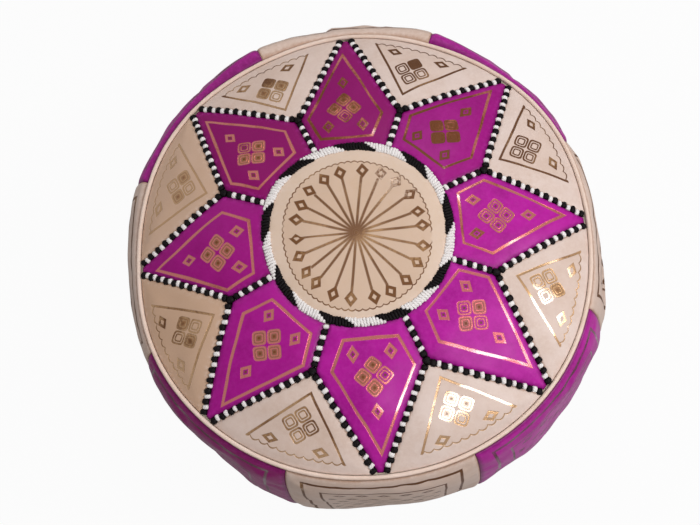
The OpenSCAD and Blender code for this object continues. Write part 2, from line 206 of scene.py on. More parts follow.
@dataclass(frozen=True)
class Cushion:
    """The outer form that all panels lie on: a crowned top and rounded sides."""

    waist_r: float = 0.257
    waist_z: float = 0.150
    rim_r: float = 0.2365
    rim_z: float = 0.278
    base_r: float = 0.2265
    base_z: float = 0.012
    crown_rise: float = 0.042
    crown_power: float = 2.6
    side_power: float = 2.3
    seam_room: float = 0.0028
    foot_out: float = 0.2097
    foot_in: float = 0.1977
    hollow_r: float = 0.1727
    hollow_h: float = 0.010

    @property
    def top_edge_r(self) -> float:
        """Radius where the top panels end beside the piping."""
        return self.rim_r - self.seam_room

    @property
    def base_edge_r(self) -> float:
        """Radius where the base leather ends beside the piping."""
        return self.base_r - self.seam_room

    def top_z(self, radius: Array) -> Array:
        """Height of the top at a radius."""
        return self.rim_z + self.crown_rise * (1 - (radius / self.rim_r) ** self.crown_power)

    def top_normal(self, plan: Array) -> Array:
        """Outward normals of the top over plan points."""
        radius = np.linalg.norm(plan, axis=-1)
        fall = (self.crown_rise * self.crown_power / self.rim_r
                * (radius / self.rim_r) ** (self.crown_power - 1))
        share = fall / np.maximum(radius, TINY)
        return unit(np.stack([plan[..., 0] * share, plan[..., 1] * share, np.ones_like(radius)], -1))

    def on_top(self, plan: Array, lift: Array | float) -> Array:
        """Points of the top over plan points, lifted along the normal."""
        height = self.top_z(np.linalg.norm(plan, axis=-1))
        lift = np.broadcast_to(np.asarray(lift, float), height.shape)
        return with_third(plan, height) + self.top_normal(plan) * lift[..., None]

    def side_rz(self, turn: Array) -> Array:
        """Radius and height of the side at a turn, from 0 at the top seam to pi at the base."""
        upper = turn < np.pi / 2
        end_r = np.where(upper, self.rim_r, self.base_r)
        end_z = np.where(upper, self.rim_z, self.base_z)
        power = 2 / self.side_power
        radius = mix(end_r, self.waist_r, np.sin(turn) ** power)
        return np.stack([radius, mix(self.waist_z, end_z, np.abs(np.cos(turn)) ** power)], -1)

    def side_start(self, radius: float, end_r: float) -> float:
        """Turn at which the side has reached a radius, counted from the seam at end_r."""
        return math.asin(((radius - end_r) / (self.waist_r - end_r)) ** (self.side_power / 2))

    @property
    def side_ends(self) -> tuple[float, float]:
        """Turns at which the side panels start beside the top piping and end beside the base's."""
        return (self.side_start(self.rim_r + self.seam_room, self.rim_r),
                math.pi - self.side_start(self.base_r + self.seam_room, self.base_r))

    def side_normal(self, turn: Array) -> Array:
        """Outward normal of the side's profile, as radius and height."""
        step = math.radians(1)
        run = (self.side_rz(np.minimum(np.pi, turn + step))
               - self.side_rz(np.maximum(0, turn - step)))
        return unit(np.stack([-run[..., 1], run[..., 0]], -1))

    def on_side(self, angle: Array, turn: Array, lift: Array | float) -> Array:
        """Points of the side at an angle about Z and a turn down its profile."""
        place = self.side_rz(turn) + self.side_normal(turn) * np.asarray(lift)[..., None]
        return polar(place[..., 0], angle, place[..., 1])

    def base_height(self, radius: Array, hollow: float) -> Array:
        """Height of the base's under side, with a hollow of a height in its middle."""
        slope = hollow * (1 - smooth((radius - self.hollow_r) / (self.foot_in - self.hollow_r)))
        edge = self.base_z * np.clip(
            (radius - self.foot_out) / (self.base_edge_r - self.foot_out), 0, None) ** 2
        return np.where(radius < self.foot_in, slope, edge)


@dataclass(frozen=True)
class StarPlan:
    """Lines of the star in one kite's own plan, whose axis is X, outwards."""

    cushion: Cushion
    notch_r: float = 0.142
    tip_half: float = 0.0046
    ring_r: float = 0.092
    ring_w: float = 0.009
    channel: float = 0.0021
    tip_blunt: float = 0.0008

    @property
    def notch(self) -> Array:
        """Where two kites and a wedge meet."""
        return self.spoke * self.notch_r

    @property
    def tip(self) -> Array:
        """Where the kite's outer seam meets the top seam."""
        return np.array([math.sqrt(self.cushion.top_edge_r ** 2 - self.tip_half ** 2), self.tip_half])

    @property
    def seam(self) -> Array:
        """Direction of the kite's outer seam."""
        return unit(self.tip - self.notch)

    @property
    def spoke(self) -> Array:
        """Direction of the seam between two kites."""
        return heading(SECTOR / 2)


@dataclass(frozen=True)
class Sewing:
    """How far hand sewing has moved the star's corners from their even places.

    Each row holds, in metres along X and Y, what moves a corner of one kind, clockwise from the
    point or seam at the back. The leather between them follows smoothly. Fullness is how far the
    stuffing pushes the sides out at even turns about Z, in millimetres.
    """

    tips: tuple = ((0.0019, 0.0031), (0.0039, -0.0014), (-0.0044, 0.0021), (0.0036, -0.0004),
                   (0.0005, 0.0011), (-0.0010, -0.0002), (0.0052, -0.0068), (-0.0028, 0.0029))
    notches: tuple = ((-0.0027, -0.0008), (0.0012, 0.0012), (0.0, 0.0034), (-0.0001, -0.0035),
                      (-0.0006, -0.0028), (-0.0026, 0.0006), (-0.0041, 0.0058), (0.0018, -0.0010))
    ring: tuple = ((0.0030, -0.0003), (-0.0014, 0.0015), (-0.0001, -0.0007), (0.0022, 0.0022),
                   (-0.0023, 0.0003), (0.0029, -0.0004), (-0.0034, 0.0043), (-0.0016, 0.0036))
    centre: tuple = (-0.0002, 0.0)
    radii: tuple[float, ...] = (0.230, 0.142, 0.0965)
    reach: float = 0.085
    rim: float = 0.233
    ease: float = 0.25
    still_z: float = 0.03
    waking: float = 0.2
    fullness: tuple = (-3.0, 1.0, 5.0, 12.0, 6.0, 7.0, 14.5, 9.2, 6.0, 10.5, 5.6, -1.2, 2.0, -2.5,
                       0.0, 7.3, -9.5, -10.5, 2.7, -5.3, 1.2, 7.0, -5.8, -2.0)
    swell_middle: float = math.radians(67)
    swell_sway: float = math.radians(35)
    swell_reach: float = math.radians(38)
    swell_ease: float = 0.3

    def bulge(self, azimuth: Array, turn: Array) -> Array:
        """How far uneven stuffing moves the sides out of their even form.

        Args:
            azimuth: angle about Z.
            turn: turn down the side's profile, from 0 to pi.

        Returns:
            The move along the side's normal, in metres.
        """
        rows = np.array(self.fullness) / 1000
        around = spline(rows, (azimuth - SECTOR / 2) / math.tau * len(rows), True)
        middle = self.swell_middle - self.swell_sway * np.sin(azimuth)
        window = np.exp(-((turn - middle) / self.swell_reach) ** 2)
        ends = smooth(turn / self.swell_ease) * smooth((np.pi - turn) / self.swell_ease)
        return around * window * ends

    def kernel(self, first: Array, second: Array) -> Array:
        """How strongly places pull on each other."""
        gap = np.linalg.norm(first[..., None, :] - second, axis=-1)
        return np.exp(-(gap / self.reach) ** 2)

    def corners(self) -> tuple[Array, Array]:
        """The even places of the corners, and how far each has moved."""
        rows = (self.tips, self.notches, self.ring)
        places = [heading(np.pi / 2 - SECTOR * (np.arange(KITES) + late)) * radius
                  for radius, late in zip(self.radii, (0.0, 0.5, 0.5))]
        return (np.concatenate([*places, np.zeros((1, 2))]),
                np.concatenate([*map(np.array, rows), np.array([self.centre])]))

    def shift(self, points: Array) -> Array:
        """Moves points of the pouf as the sewing has moved the leather there."""
        places, moves = self.corners()
        pull = self.kernel(places, places) + self.ease * np.eye(len(places))
        share = np.linalg.solve(pull, moves)
        plan = points[..., :2]
        radius = np.linalg.norm(plan, axis=-1, keepdims=True)
        held = plan * np.minimum(1, self.rim / np.maximum(radius, TINY))
        drift = self.kernel(held, places) @ share
        out = points.copy()
        out[..., :2] += drift * smooth((points[..., 2:] - self.still_z) / self.waking)
        return out


SEWING = Sewing()


def beside(direction: Array) -> Array:
    """The plan direction at right angles to another, on its right."""
    return np.array([direction[1], -direction[0]])


def meet(start: Array, along: Array, other: Array, other_along: Array) -> Array:
    """Where two plan lines meet."""
    gap = other - start
    share = ((gap[0] * other_along[1] - gap[1] * other_along[0])
             / (along[0] * other_along[1] - along[1] * other_along[0]))
    return start + along * share


def to_circle(start: Array, along: Array, radius: float) -> float:
    """Distance from a point along a direction to the circle of a radius about the axis."""
    lean = float(start @ along)
    return -lean + math.sqrt(lean * lean - float(start @ start) + radius * radius)


def line_distance(plan: Array, start: Array, end: Array) -> Array:
    """Distance of plan points from the line of a straight seam."""
    along = unit(end - start)
    gap = plan - start
    return np.abs(gap[..., 0] * along[1] - gap[..., 1] * along[0])


# Meshes


@dataclass
class Grid:
    """A sheet of leather as two grids of points, with what its finish needs to know."""

    outer: Array
    inner: Array
    stamp: Array
    seam: Array
    # Share of the ageing tint, partly real ageing and partly painted shade, and how burnt the foil is.
    dye: tuple[float, float] = (0.0, 0.0)

    def build(self, name: str) -> Piece:
        """Makes the closed sheet as an object.

        Args:
            name: name of the object.

        Returns:
            The object, with its stamp and seam attributes and the attribute of its ageing, painted shade
            and foil burn.
        """
        rows, columns = self.outer.shape[:2]
        self.outer, self.inner = SEWING.shift(self.outer), SEWING.shift(self.inner)
        total = rows * columns
        faces, loop = sheet_faces(rows, columns)
        after = np.roll(loop, -1)
        walls = np.stack([after, loop, loop + total, after + total], -1)
        quads = np.concatenate([faces, faces[:, ::-1] + total, walls])
        row, column = rows // 2, columns // 2
        here = self.outer[row, column]
        facing = np.cross(self.outer[row, column + 1] - here, self.outer[row + 1, column] - here)
        if facing @ (here - self.inner[row, column]) < 0:
            quads = quads[:, ::-1]
        points = np.concatenate([self.outer.reshape(-1, 3), self.inner.reshape(-1, 3)])
        piece = add_mesh(name, points, quads)
        store(piece, "stamp", np.tile(self.stamp.reshape(-1, 3), (2, 1)))
        store(piece, "seam", np.tile(self.seam.reshape(-1), 2))
        store(piece, "dye", np.tile([*self.dye, 0.0], (2 * total, 1)))
        return piece


def sheet_faces(rows: int, columns: int) -> tuple[Array, Array]:
    """Faces of a grid of corners, and the corners round its edge in turn."""
    index = np.arange(rows * columns).reshape(rows, columns)
    faces = np.stack([index[:-1, :-1], index[:-1, 1:], index[1:, 1:], index[1:, :-1]], -1)
    loop = np.concatenate([index[0, :-1], index[:-1, -1], index[-1, :0:-1], index[:0:-1, 0]])
    return faces.reshape(-1, 4), loop


def add_object(name: str, data: bpy.types.ID) -> Piece:
    """Adds an object that shows a mesh, a lamp or a camera."""
    piece = bpy.data.objects.new(name, data)
    bpy.context.scene.collection.objects.link(piece)
    return piece


def add_mesh(name: str, points: Array | list, faces: Array | list, edges: Array | list = (),
             ) -> Piece:
    """Adds a mesh object at the origin with smooth faces.

    Args:
        name: name of the object.
        points: corners in metres.
        faces: corner numbers of each face.
        edges: corner numbers of loose edges.

    Returns:
        The new object, linked to the scene.
    """
    mesh = bpy.data.meshes.new(name)
    mesh.from_pydata(*(rows.tolist() if isinstance(rows, Array) else rows
                       for rows in (points, edges, faces)))
    mesh.shade_smooth()
    return add_object(name, mesh)


def store(piece: Piece, name: str, values: Array) -> None:
    """Stores a number or a vector at each corner of a piece."""
    sort, key = ("FLOAT", "value") if np.ndim(values) == 1 else ("FLOAT_VECTOR", "vector")
    layer = piece.data.attributes.new(name, sort, "POINT")
    layer.data.foreach_set(key, np.ascontiguousarray(values, np.float32).ravel())


def ring_mesh(name: str, radius: float, height: float, section: Array) -> Piece:
    """Turns a closed section about Z.

    Args:
        name: name of the object.
        radius: radius of the section's middle.
        height: height of the section's middle.
        section: for each step round the ring, the section's points from its middle, in radius
            and height, counterclockwise with radius to the right.

    Returns:
        The closed ring.
    """
    count, corners = section.shape[:2]
    angles = steps_round(count)[:, None]
    points = polar(radius + section[..., 0], angles, height + section[..., 1])
    index = np.arange(count * corners).reshape(count, corners)
    right, up = np.roll(index, -1, 0), np.roll(index, -1, 1)
    faces = np.stack([index, right, np.roll(right, -1, 1), up], -1).reshape(-1, 4)
    return add_mesh(name, SEWING.shift(points.reshape(-1, 3)), faces)


# Node building


class Graph:
    """Adds nodes to one tree."""

    def __init__(self, tree: Tree) -> None:
        """Keeps the tree."""
        self.tree = tree

    def node(self, kind: str, feeds: dict | None = None, **settings: object) -> Node:
        """Adds a node.

        Args:
            kind: the node's type.
            feeds: for each input, by name or number, a value or a socket.
            settings: the node's own properties.

        Returns:
            The node.
        """
        node = self.tree.nodes.new(kind)
        for key, value in settings.items():
            setattr(node, key, value)
        return self.feeds(node, feeds or {})

    def feeds(self, node: Node, values: dict) -> Node:
        """Feeds several inputs of a node, by name or number."""
        for key, value in values.items():
            self.feed(node.inputs[key], value)
        return node

    def feed(self, socket: Socket, value: object) -> None:
        """Links a socket or a number to an input, or sets the input's own value."""
        if isinstance(value, Num):
            value = value.socket
        if isinstance(value, Socket):
            self.tree.links.new(value, socket)
        elif socket.type == "RGBA" and len(value) == 3:
            socket.default_value = (*value, 1.0)
        else:
            socket.default_value = value

    def num(self, socket: Socket) -> "Num":
        """Wraps a socket so that arithmetic works on it."""
        return Num(self, socket)

    def split(self, vector: Socket) -> tuple["Num", "Num", "Num"]:
        """The three parts of a vector."""
        return tuple(map(self.num, self.node("ShaderNodeSeparateXYZ", {0: vector}).outputs))

    def join(self, x: "Num | float", y: "Num | float", z: "Num | float") -> Socket:
        """A vector from three parts."""
        return self.node("ShaderNodeCombineXYZ", {0: x, 1: y, 2: z}).outputs[0]

    def noise(self, vector: Socket, scale: float, detail: float = 2.0,
              rough: float = 0.5) -> "Num":
        """Noise from 0 to 1 at a place."""
        node = self.node("ShaderNodeTexNoise", {"Vector": vector, "Scale": scale,
                                                "Detail": detail, "Roughness": rough})
        return self.num(node.outputs[0])

    def blend(self, share: "Num | float", first: object, second: object) -> Socket:
        """Mixes two colours."""
        node = self.node("ShaderNodeMix", data_type="RGBA")
        return self.feeds(node, {0: share, 6: first, 7: second}).outputs[2]


class Num:
    """A number in a node tree, whose arithmetic adds Math nodes."""

    def __init__(self, graph: Graph, socket: Socket) -> None:
        """Keeps the tree's graph and the socket."""
        self.graph = graph
        self.socket = socket

    def math(self, operation: str, *others: "Num | float", clamp: bool = False) -> "Num":
        """Adds one Math node on this number and others."""
        node = self.graph.node("ShaderNodeMath", dict(enumerate((self, *others))),
                               operation=operation, use_clamp=clamp)
        return Num(self.graph, node.outputs[0])

    def __add__(self, other: "Num | float") -> "Num":
        """Sum."""
        return self.math("ADD", other)

    def __sub__(self, other: "Num | float") -> "Num":
        """Difference."""
        return self.math("SUBTRACT", other)

    def __mul__(self, other: "Num | float") -> "Num":
        """Product."""
        return self.math("MULTIPLY", other)

    def __truediv__(self, other: "Num | float") -> "Num":
        """Quotient."""
        return self.math("DIVIDE", other)

    def __abs__(self) -> "Num":
        """Size without sign."""
        return self.math("ABSOLUTE")

    def over(self, other: "Num | float") -> "Num":
        """The larger of two."""
        return self.math("MAXIMUM", other)

    def power(self, exponent: float) -> "Num":
        """This number to a power."""
        return self.math("POWER", exponent)

    def less(self) -> "Num":
        """One minus this number."""
        return self * -1.0 + 1.0

    def held(self) -> "Num":
        """This number kept between 0 and 1."""
        return self.math("ADD", 0.0, clamp=True)

    def ramp(self, low: float, high: float, first: float = 0.0, last: float = 1.0) -> "Num":
        """Goes smoothly from first to last as this number goes from low to high."""
        node = self.graph.node("ShaderNodeMapRange", {0: self, 1: low, 2: high, 3: first, 4: last},
                               interpolation_type="SMOOTHSTEP")
        return Num(self.graph, node.outputs[0])

    def fade(self, low: float, high: "Num | float") -> "Num":
        """Goes smoothly from one to nothing as this number goes from low to high."""
        return self.ramp(low, high, 1.0, 0.0)

    def band(self, half: "Num | float", soft: float = 0.5) -> "Num":
        """A line of a half width about nothing, with soft edges."""
        return ((abs(self) - half) * (-1.0 / soft) + 0.5).held()


SOCKETS = {"number": "NodeSocketFloat", "vector": "NodeSocketVector", "colour": "NodeSocketColor",
           "shape": "NodeSocketGeometry", "count": "NodeSocketInt", "object": "NodeSocketObject",
           "material": "NodeSocketMaterial"}


def new_tree(name: str, kind: str, inputs: Sequence[tuple], outputs: Sequence[tuple]) -> Graph:
    """Makes a node group with named inputs and outputs.

    Args:
        name: name of the group.
        kind: ShaderNodeTree or GeometryNodeTree.
        inputs: name, kind and, where it has one, the default of each input.
        outputs: name and kind of each output.

    Returns:
        The group's graph.
    """
    tree = bpy.data.node_groups.new(name, kind)
    for title, sort, *default in inputs:
        socket = tree.interface.new_socket(title, in_out="INPUT", socket_type=SOCKETS[sort])
        if default:
            socket.default_value = default[0]
    for title, sort in outputs:
        tree.interface.new_socket(title, in_out="OUTPUT", socket_type=SOCKETS[sort])
    return Graph(tree)


def once(builder: Callable[[], Tree]) -> Callable[[], Tree]:
    """Makes a builder run once and give the same group from then on."""
    kept: list = []

    def give() -> Tree:
        """The group, built at the first call."""
        if not kept:
            kept.append(builder())
        return kept[0]
    return give


# Effects that several materials share


@once
def leather_grain() -> Tree:
    """Pebbled grain with pores, and slow mottling of the dye."""
    g = new_tree("leather_grain", "ShaderNodeTree",
                 [("Position", "vector"), ("Grain Scale", "number", 900.0), ("Seed", "number", 0.0)],
                 [("Height", "number"), ("Mottle", "number"), ("Streak", "number")])
    ends = g.node("NodeGroupInput")
    place, scale, seed = ends.outputs[:3]
    moved = g.node("ShaderNodeVectorMath", {0: place, 1: g.join(g.num(seed), g.num(seed) * 0.7, 0.0)},
                   operation="ADD").outputs[0]
    cells = g.node("ShaderNodeTexVoronoi", {"Vector": moved, "Scale": scale}, feature="SMOOTH_F1")
    pores = g.noise(moved, 2600.0, 2.0)
    creases = g.noise(moved, 90.0, 3.0, 0.6)
    height = g.num(cells.outputs[0]) * -0.7 + pores * 0.35 + creases * 0.9
    clouds = g.noise(moved, 14.0, 3.0, 0.55) * 0.6 + g.noise(moved, 70.0, 3.0, 0.6) * 0.4
    mottle = clouds.ramp(0.34, 0.66)
    streak = g.noise(moved, 260.0, 4.0, 0.7).ramp(0.35, 0.75)
    g.node("NodeGroupOutput", {"Height": height, "Mottle": mottle, "Streak": streak})
    return g.tree


@once
def edge_wear() -> Tree:
    """Painted shade along the seams, dark right at the stitches, and real wear rubbed pale a little
    further in.
    """
    g = new_tree("edge_wear", "ShaderNodeTree",
                 [("Seam", "number", 0.1), ("Position", "vector"), ("Reach", "number", 3.0)],
                 [("Shade", "number"), ("Rub", "number")])
    ends = g.node("NodeGroupInput")
    distance = g.num(ends.outputs[0]) * 1000.0
    ragged = g.noise(ends.outputs[1], 220.0, 3.0, 0.6)
    reach = distance + (ragged - 0.5) * 3.0
    shade = reach.fade(0.0, g.num(ends.outputs[2]))
    rub = (reach - 4.0).band(2.0, 4.0) * ragged.ramp(0.45, 0.7)
    g.node("NodeGroupOutput", {"Shade": shade, "Rub": rub})
    return g.tree


@once
def worn_foil() -> Tree:
    """Foil pressed into leather: where it holds, where the press burnt it, and its speckle."""
    g = new_tree("worn_foil", "ShaderNodeTree",
                 [("Mask", "number", 0.0), ("Position", "vector"), ("Wear", "number", 0.4),
                  ("Dark", "number", 0.5)],
                 [("Foil", "number"), ("Burn", "number"), ("Press", "number")])
    ends = g.node("NodeGroupInput")
    mask, wear, dark = (g.num(ends.outputs[i]) for i in (0, 2, 3))
    fine = g.noise(ends.outputs[1], 420.0, 3.0, 0.65)
    broad = g.noise(ends.outputs[1], 34.0, 2.0, 0.5)
    hold = (fine * 0.55 + broad * 0.45 - wear * 0.5 + 0.12).ramp(0.24, 0.42)
    hold = hold * dark.ramp(-0.3, 0.35, 0.3, 1.0)
    burn = (g.noise(ends.outputs[1], 21.0, 2.0) * 0.7 + fine * 0.3 + dark * 0.44 - 0.22).ramp(0.4, 0.62)
    g.node("NodeGroupOutput", {"Foil": mask * hold, "Burn": burn, "Press": mask})
    return g.tree


@dataclass
class Marks:
    """What an ornament draws: foil lines, filled places, burnt dots and a browned field."""

    lines: Num
    fill: Num
    dots: Num
    field: Num

    def over(self, other: "Marks") -> "Marks":
        """Both ornaments together."""
        return Marks(self.lines.over(other.lines), self.fill.over(other.fill),
                     self.dots.over(other.dots), self.field.over(other.field))


def diamond_mark(x: Num, y: Num, half_x: float, half_y: float, bore: float = 0.45) -> Marks:
    """An outlined diamond with a burnt dot."""
    share = abs(x) / half_x + abs(y) / half_y
    outline = (share - (1 + bore) / 2).band((1 - bore) / 2, 0.12)
    none = outline * 0.0
    return Marks(outline, none, share.fade(0.16, 0.3), none)


def chance(g: Graph, seed: Num, first: Num, second: Num) -> Num:
    """A number from 0 to 1 that differs for each element of each panel."""
    place = g.join(seed.math("FLOOR"), first.math("SIGN") * 3.0, second.math("SIGN") * 5.0)
    return g.num(g.node("ShaderNodeTexWhiteNoise", {"Vector": place}).outputs["Value"])


def cluster_mark(g: Graph, x: Num, y: Num, seed: Num) -> Marks:
    """Four rounded diamonds set in a diamond, some filled, in millimetres."""
    first = abs((x + y) * 0.7071) - 7.3
    second = abs((x - y) * 0.7071) - 7.3
    away = (abs(first).power(4.4) + abs(second).power(4.4)).power(1 / 4.4)
    outline = (away - 6.0).band(0.85, 0.6)
    within = (away - 3.4).band(0.65, 0.6)
    dot = away.fade(0.8, 1.7)
    filled = (seed.math("FRACT") - chance(g, seed, x + y, x - y)).ramp(-0.01, 0.01)
    return Marks(outline.over(within), away.fade(6.3, 6.8) * filled, dot, away * 0.0)


def stamp_group(name: str, draw: Callable[[Graph, Num, Num, Num], Marks]) -> Tree:
    """Wraps an ornament, drawn in millimetres, as a group.

    Args:
        name: name of the group.
        draw: makes the marks from the graph, the place's two parts and the panel's seed.

    Returns:
        The group, which turns a stamp vector in metres into masks.
    """
    g = new_tree(name, "ShaderNodeTree", [("Stamp", "vector")],
                 [("Lines", "number"), ("Fill", "number"), ("Dots", "number"), ("Field", "number")])
    ends = g.node("NodeGroupInput")
    x, y, seed = g.split(ends.outputs[0])
    marks = draw(g, x * 1000.0, y * 1000.0, seed)
    g.node("NodeGroupOutput", {"Lines": marks.lines, "Fill": marks.fill, "Dots": marks.dots,
                               "Field": marks.field})
    return g.tree


def wander(g: Graph, x: Num, y: Num, seed: Num, amount: float) -> tuple[Num, Num]:
    """Moves an ornament a little, another way on each panel, and makes its lines waver."""
    ride = g.join(seed * 13.7, seed * 5.1, 0.0)
    shift_x = (g.noise(ride, 1.0, 0.0) - 0.5) * (amount * 4)
    shift_y = (g.noise(g.join(seed * 7.3, seed * 11.9, 3.0), 1.0, 0.0) - 0.5) * (amount * 4)
    waver = g.noise(g.join(x * 0.03, y * 0.03, seed), 1.0, 1.0) - 0.5
    return x + shift_x + waver * 1.8, y + shift_y - waver * 1.8


def length_of(x: Num, y: Num) -> Num:
    """Distance from the ornament's own origin."""
    return (x * x + y * y).math("SQRT")


def scallops(around: Num, rate: float, height: float) -> Num:
    """How far a scalloped line bows out at an angle."""
    return abs((around * rate).math("SINE")).power(0.8) * height


def plain_marks(lines: Num, browned: Num | None = None) -> Marks:
    """Marks that have lines alone, or lines and a browned field."""
    none = lines * 0.0
    return Marks(lines, none, none, browned or none)


def draw_kite(g: Graph, x: Num, y: Num, seed: Num) -> Marks:
    """A pentagon frame, a cluster and three small diamonds."""
    x, y = wander(g, x, y, seed, 1.2)
    side = abs(y)
    outer = x * 0.438 + side * 0.899 - 93.7
    spoke = x * -0.434 + side * 0.901 + 23.0
    inner = x * -1.0 + 107.0
    wide = g.noise(g.join(x * 0.02, y * 0.02, seed + 9.0), 1.0, 1.0) * 1.2 + 0.8
    frame = (outer.over(spoke).over(inner)).band(wide, 0.7)
    near_x, near_y = wander(g, x, y, seed + 4.0, 1.6)
    marks = cluster_mark(g, near_x - 142.0, near_y, seed)
    marks = marks.over(diamond_mark(near_x - 174.5, near_y, 8.4, 6.2))
    marks = marks.over(diamond_mark(near_x - 120.5, abs(near_y) - 17.8, 8.2, 6.4))
    return marks.over(plain_marks(frame))


def draw_wedge(g: Graph, x: Num, y: Num, seed: Num) -> Marks:
    """Two straight lines, a scalloped line beside the rim, a cluster and two diamonds."""
    x, y = wander(g, x, y, seed, 1.4)
    side = abs(y)
    line = side * 0.745 - (x - 163.5) * 0.667
    arcs = scallops(y.math("ARCTAN2", x), math.pi / 0.042, 2.4)
    scallop = length_of(x, y) - arcs - 222.8
    straight = line.band(1.15, 0.6) * scallop.fade(-0.4, 0.4)
    rim = scallop.band(0.6, 0.5) * line.fade(-0.4, 0.4)
    near_x, near_y = wander(g, x, y, seed + 4.0, 1.6)
    marks = cluster_mark(g, near_x - 195.0, near_y, seed)
    marks = marks.over(diamond_mark(near_x - 215.0, abs(near_y) - 25.5, 5.4, 8.6, 0.4))
    within = line.fade(-1.0, 0.0) * scallop.fade(-1.0, 0.0)
    marks = Marks(marks.lines, marks.fill, marks.dots * marks.fill * 0.6, marks.field)
    return marks.over(plain_marks(straight.over(rim), within * 0.3))


SPOKES = 22
SCALLOPS = 72


def draw_disc(g: Graph, x: Num, y: Num, seed: Num) -> Marks:
    """Roped spokes that end in diamonds, and a scalloped ring that isn't quite round them."""
    x, y = x + 1.9, y + 1.6
    radius = length_of(x, y)
    full = y.math("ARCTAN2", x)
    ring_r = length_of((x - 0.8) * 1.045, y + 1.8)
    turn = full / (math.tau / SPOKES) + SPOKES
    count = turn.math("ROUND")
    jitter = g.noise(g.join(count * 3.7, 1.5, 0.0), 1.0, 0.0) - 0.5
    other = g.noise(g.join(count * 5.3, 8.5, 0.0), 1.0, 0.0) - 0.5
    angle = (turn - count - jitter * 0.4) * (math.tau / SPOKES)
    across = angle.math("SINE") * radius
    along = angle.math("COSINE") * radius
    rope = abs((along * 1.6 + across * 1.4).math("SINE")) * 0.5 + 0.95
    oval = (full * 2.0).math("COSINE") * 1.6
    reach = full.math("COSINE") * 3.2 - full.math("SINE") * 1.6 - oval + other * 5.0 + 64.8
    out = along - reach
    spoke = across.band(rope, 0.5) * out.fade(-7.0, -6.0) * (rope - 0.35)
    lean = other * 1.5
    side = across - jitter * 3.0
    mark = diamond_mark(out + side * lean, side - out * lean, 8.2, 6.4, 0.38)
    worn = g.noise(g.join(x * 0.02, y * 0.02, seed), 1.0, 1.0).ramp(0.3, 0.38)
    edge = ring_r - scallops(full, SCALLOPS / 2, 1.7) - 76.0
    ring = edge.band(0.6, 0.5) * worn
    return plain_marks(spoke.over(ring).over(mark.lines), edge.ramp(-2.0, 1.0, 0.75, 0.0))


def draw_side(g: Graph, x: Num, y: Num, seed: Num) -> Marks:
    """Two frames, one inside the other, with rows of small diamonds inside them."""
    x, y = wander(g, x, y, seed, 1.4)
    side = abs(x)
    middle, half = 136.0, 125.0
    height = abs(y - middle)
    outer = (side - 79.0).over(height - half).band(1.5, 0.6)
    inner = (side - 62.0).over(height - (half - 15.0))
    row = (y - 36.0) / 19.0
    whole = row.math("ROUND")
    odd = (whole * 0.5).math("FRACT")
    column = x / 22.0 + odd
    place = (column - column.math("ROUND")) * 22.0
    mark = diamond_mark(place, (row - whole) * 19.0, 7.2, 4.0, 0.4).lines
    within = inner.fade(-6.0, -5.0)
    return plain_marks(outer.over(inner.band(1.1, 0.6)).over(mark * within))


STAMPS = {Stamp.KITE: draw_kite, Stamp.WEDGE: draw_wedge, Stamp.DISC: draw_disc, Stamp.SIDE: draw_side}


# Finishes


def new_material(name: str) -> tuple[Material, Graph, Node]:
    """A material with nothing but its shader and output.

    Args:
        name: name of the material.

    Returns:
        The material, its graph and its Principled shader.
    """
    material = bpy.data.materials.new(name)
    material.use_nodes = True
    material.node_tree.nodes.clear()
    g = Graph(material.node_tree)
    shader = g.node("ShaderNodeBsdfPrincipled")
    g.node("ShaderNodeOutputMaterial", {0: shader.outputs[0]})
    return material, g, shader


def put_group(g: Graph, tree: Tree, feeds: dict) -> list[Num]:
    """Places a shared group in a tree, and gives what it puts out."""
    return [g.num(socket) for socket in
            g.feeds(g.node("ShaderNodeGroup", node_tree=tree), feeds).outputs]


def surface(g: Graph, shader: Node, colour: Socket, rough: Num, relief: Num,
            others: dict | None = None) -> None:
    """Feeds a shader.

    Args:
        g: the material's graph.
        shader: its shader.
        colour: the base colour.
        rough: the roughness.
        relief: height of the surface in metres, for its bump.
        others: other inputs by name.
    """
    normal = g.node("ShaderNodeBump", {"Strength": 1.0, "Distance": 1.0, "Height": relief})
    g.feeds(shader, {"Base Color": colour, "Roughness": rough, "Normal": normal.outputs[0],
                     **(others or {})})


def place_of(g: Graph) -> Socket:
    """Where a point lies on its object, in metres."""
    return g.node("ShaderNodeTexCoord").outputs["Object"]


def stored(g: Graph, name: str) -> Node:
    """Reads an attribute of the piece."""
    return g.node("ShaderNodeAttribute", attribute_name=name, attribute_type="GEOMETRY")


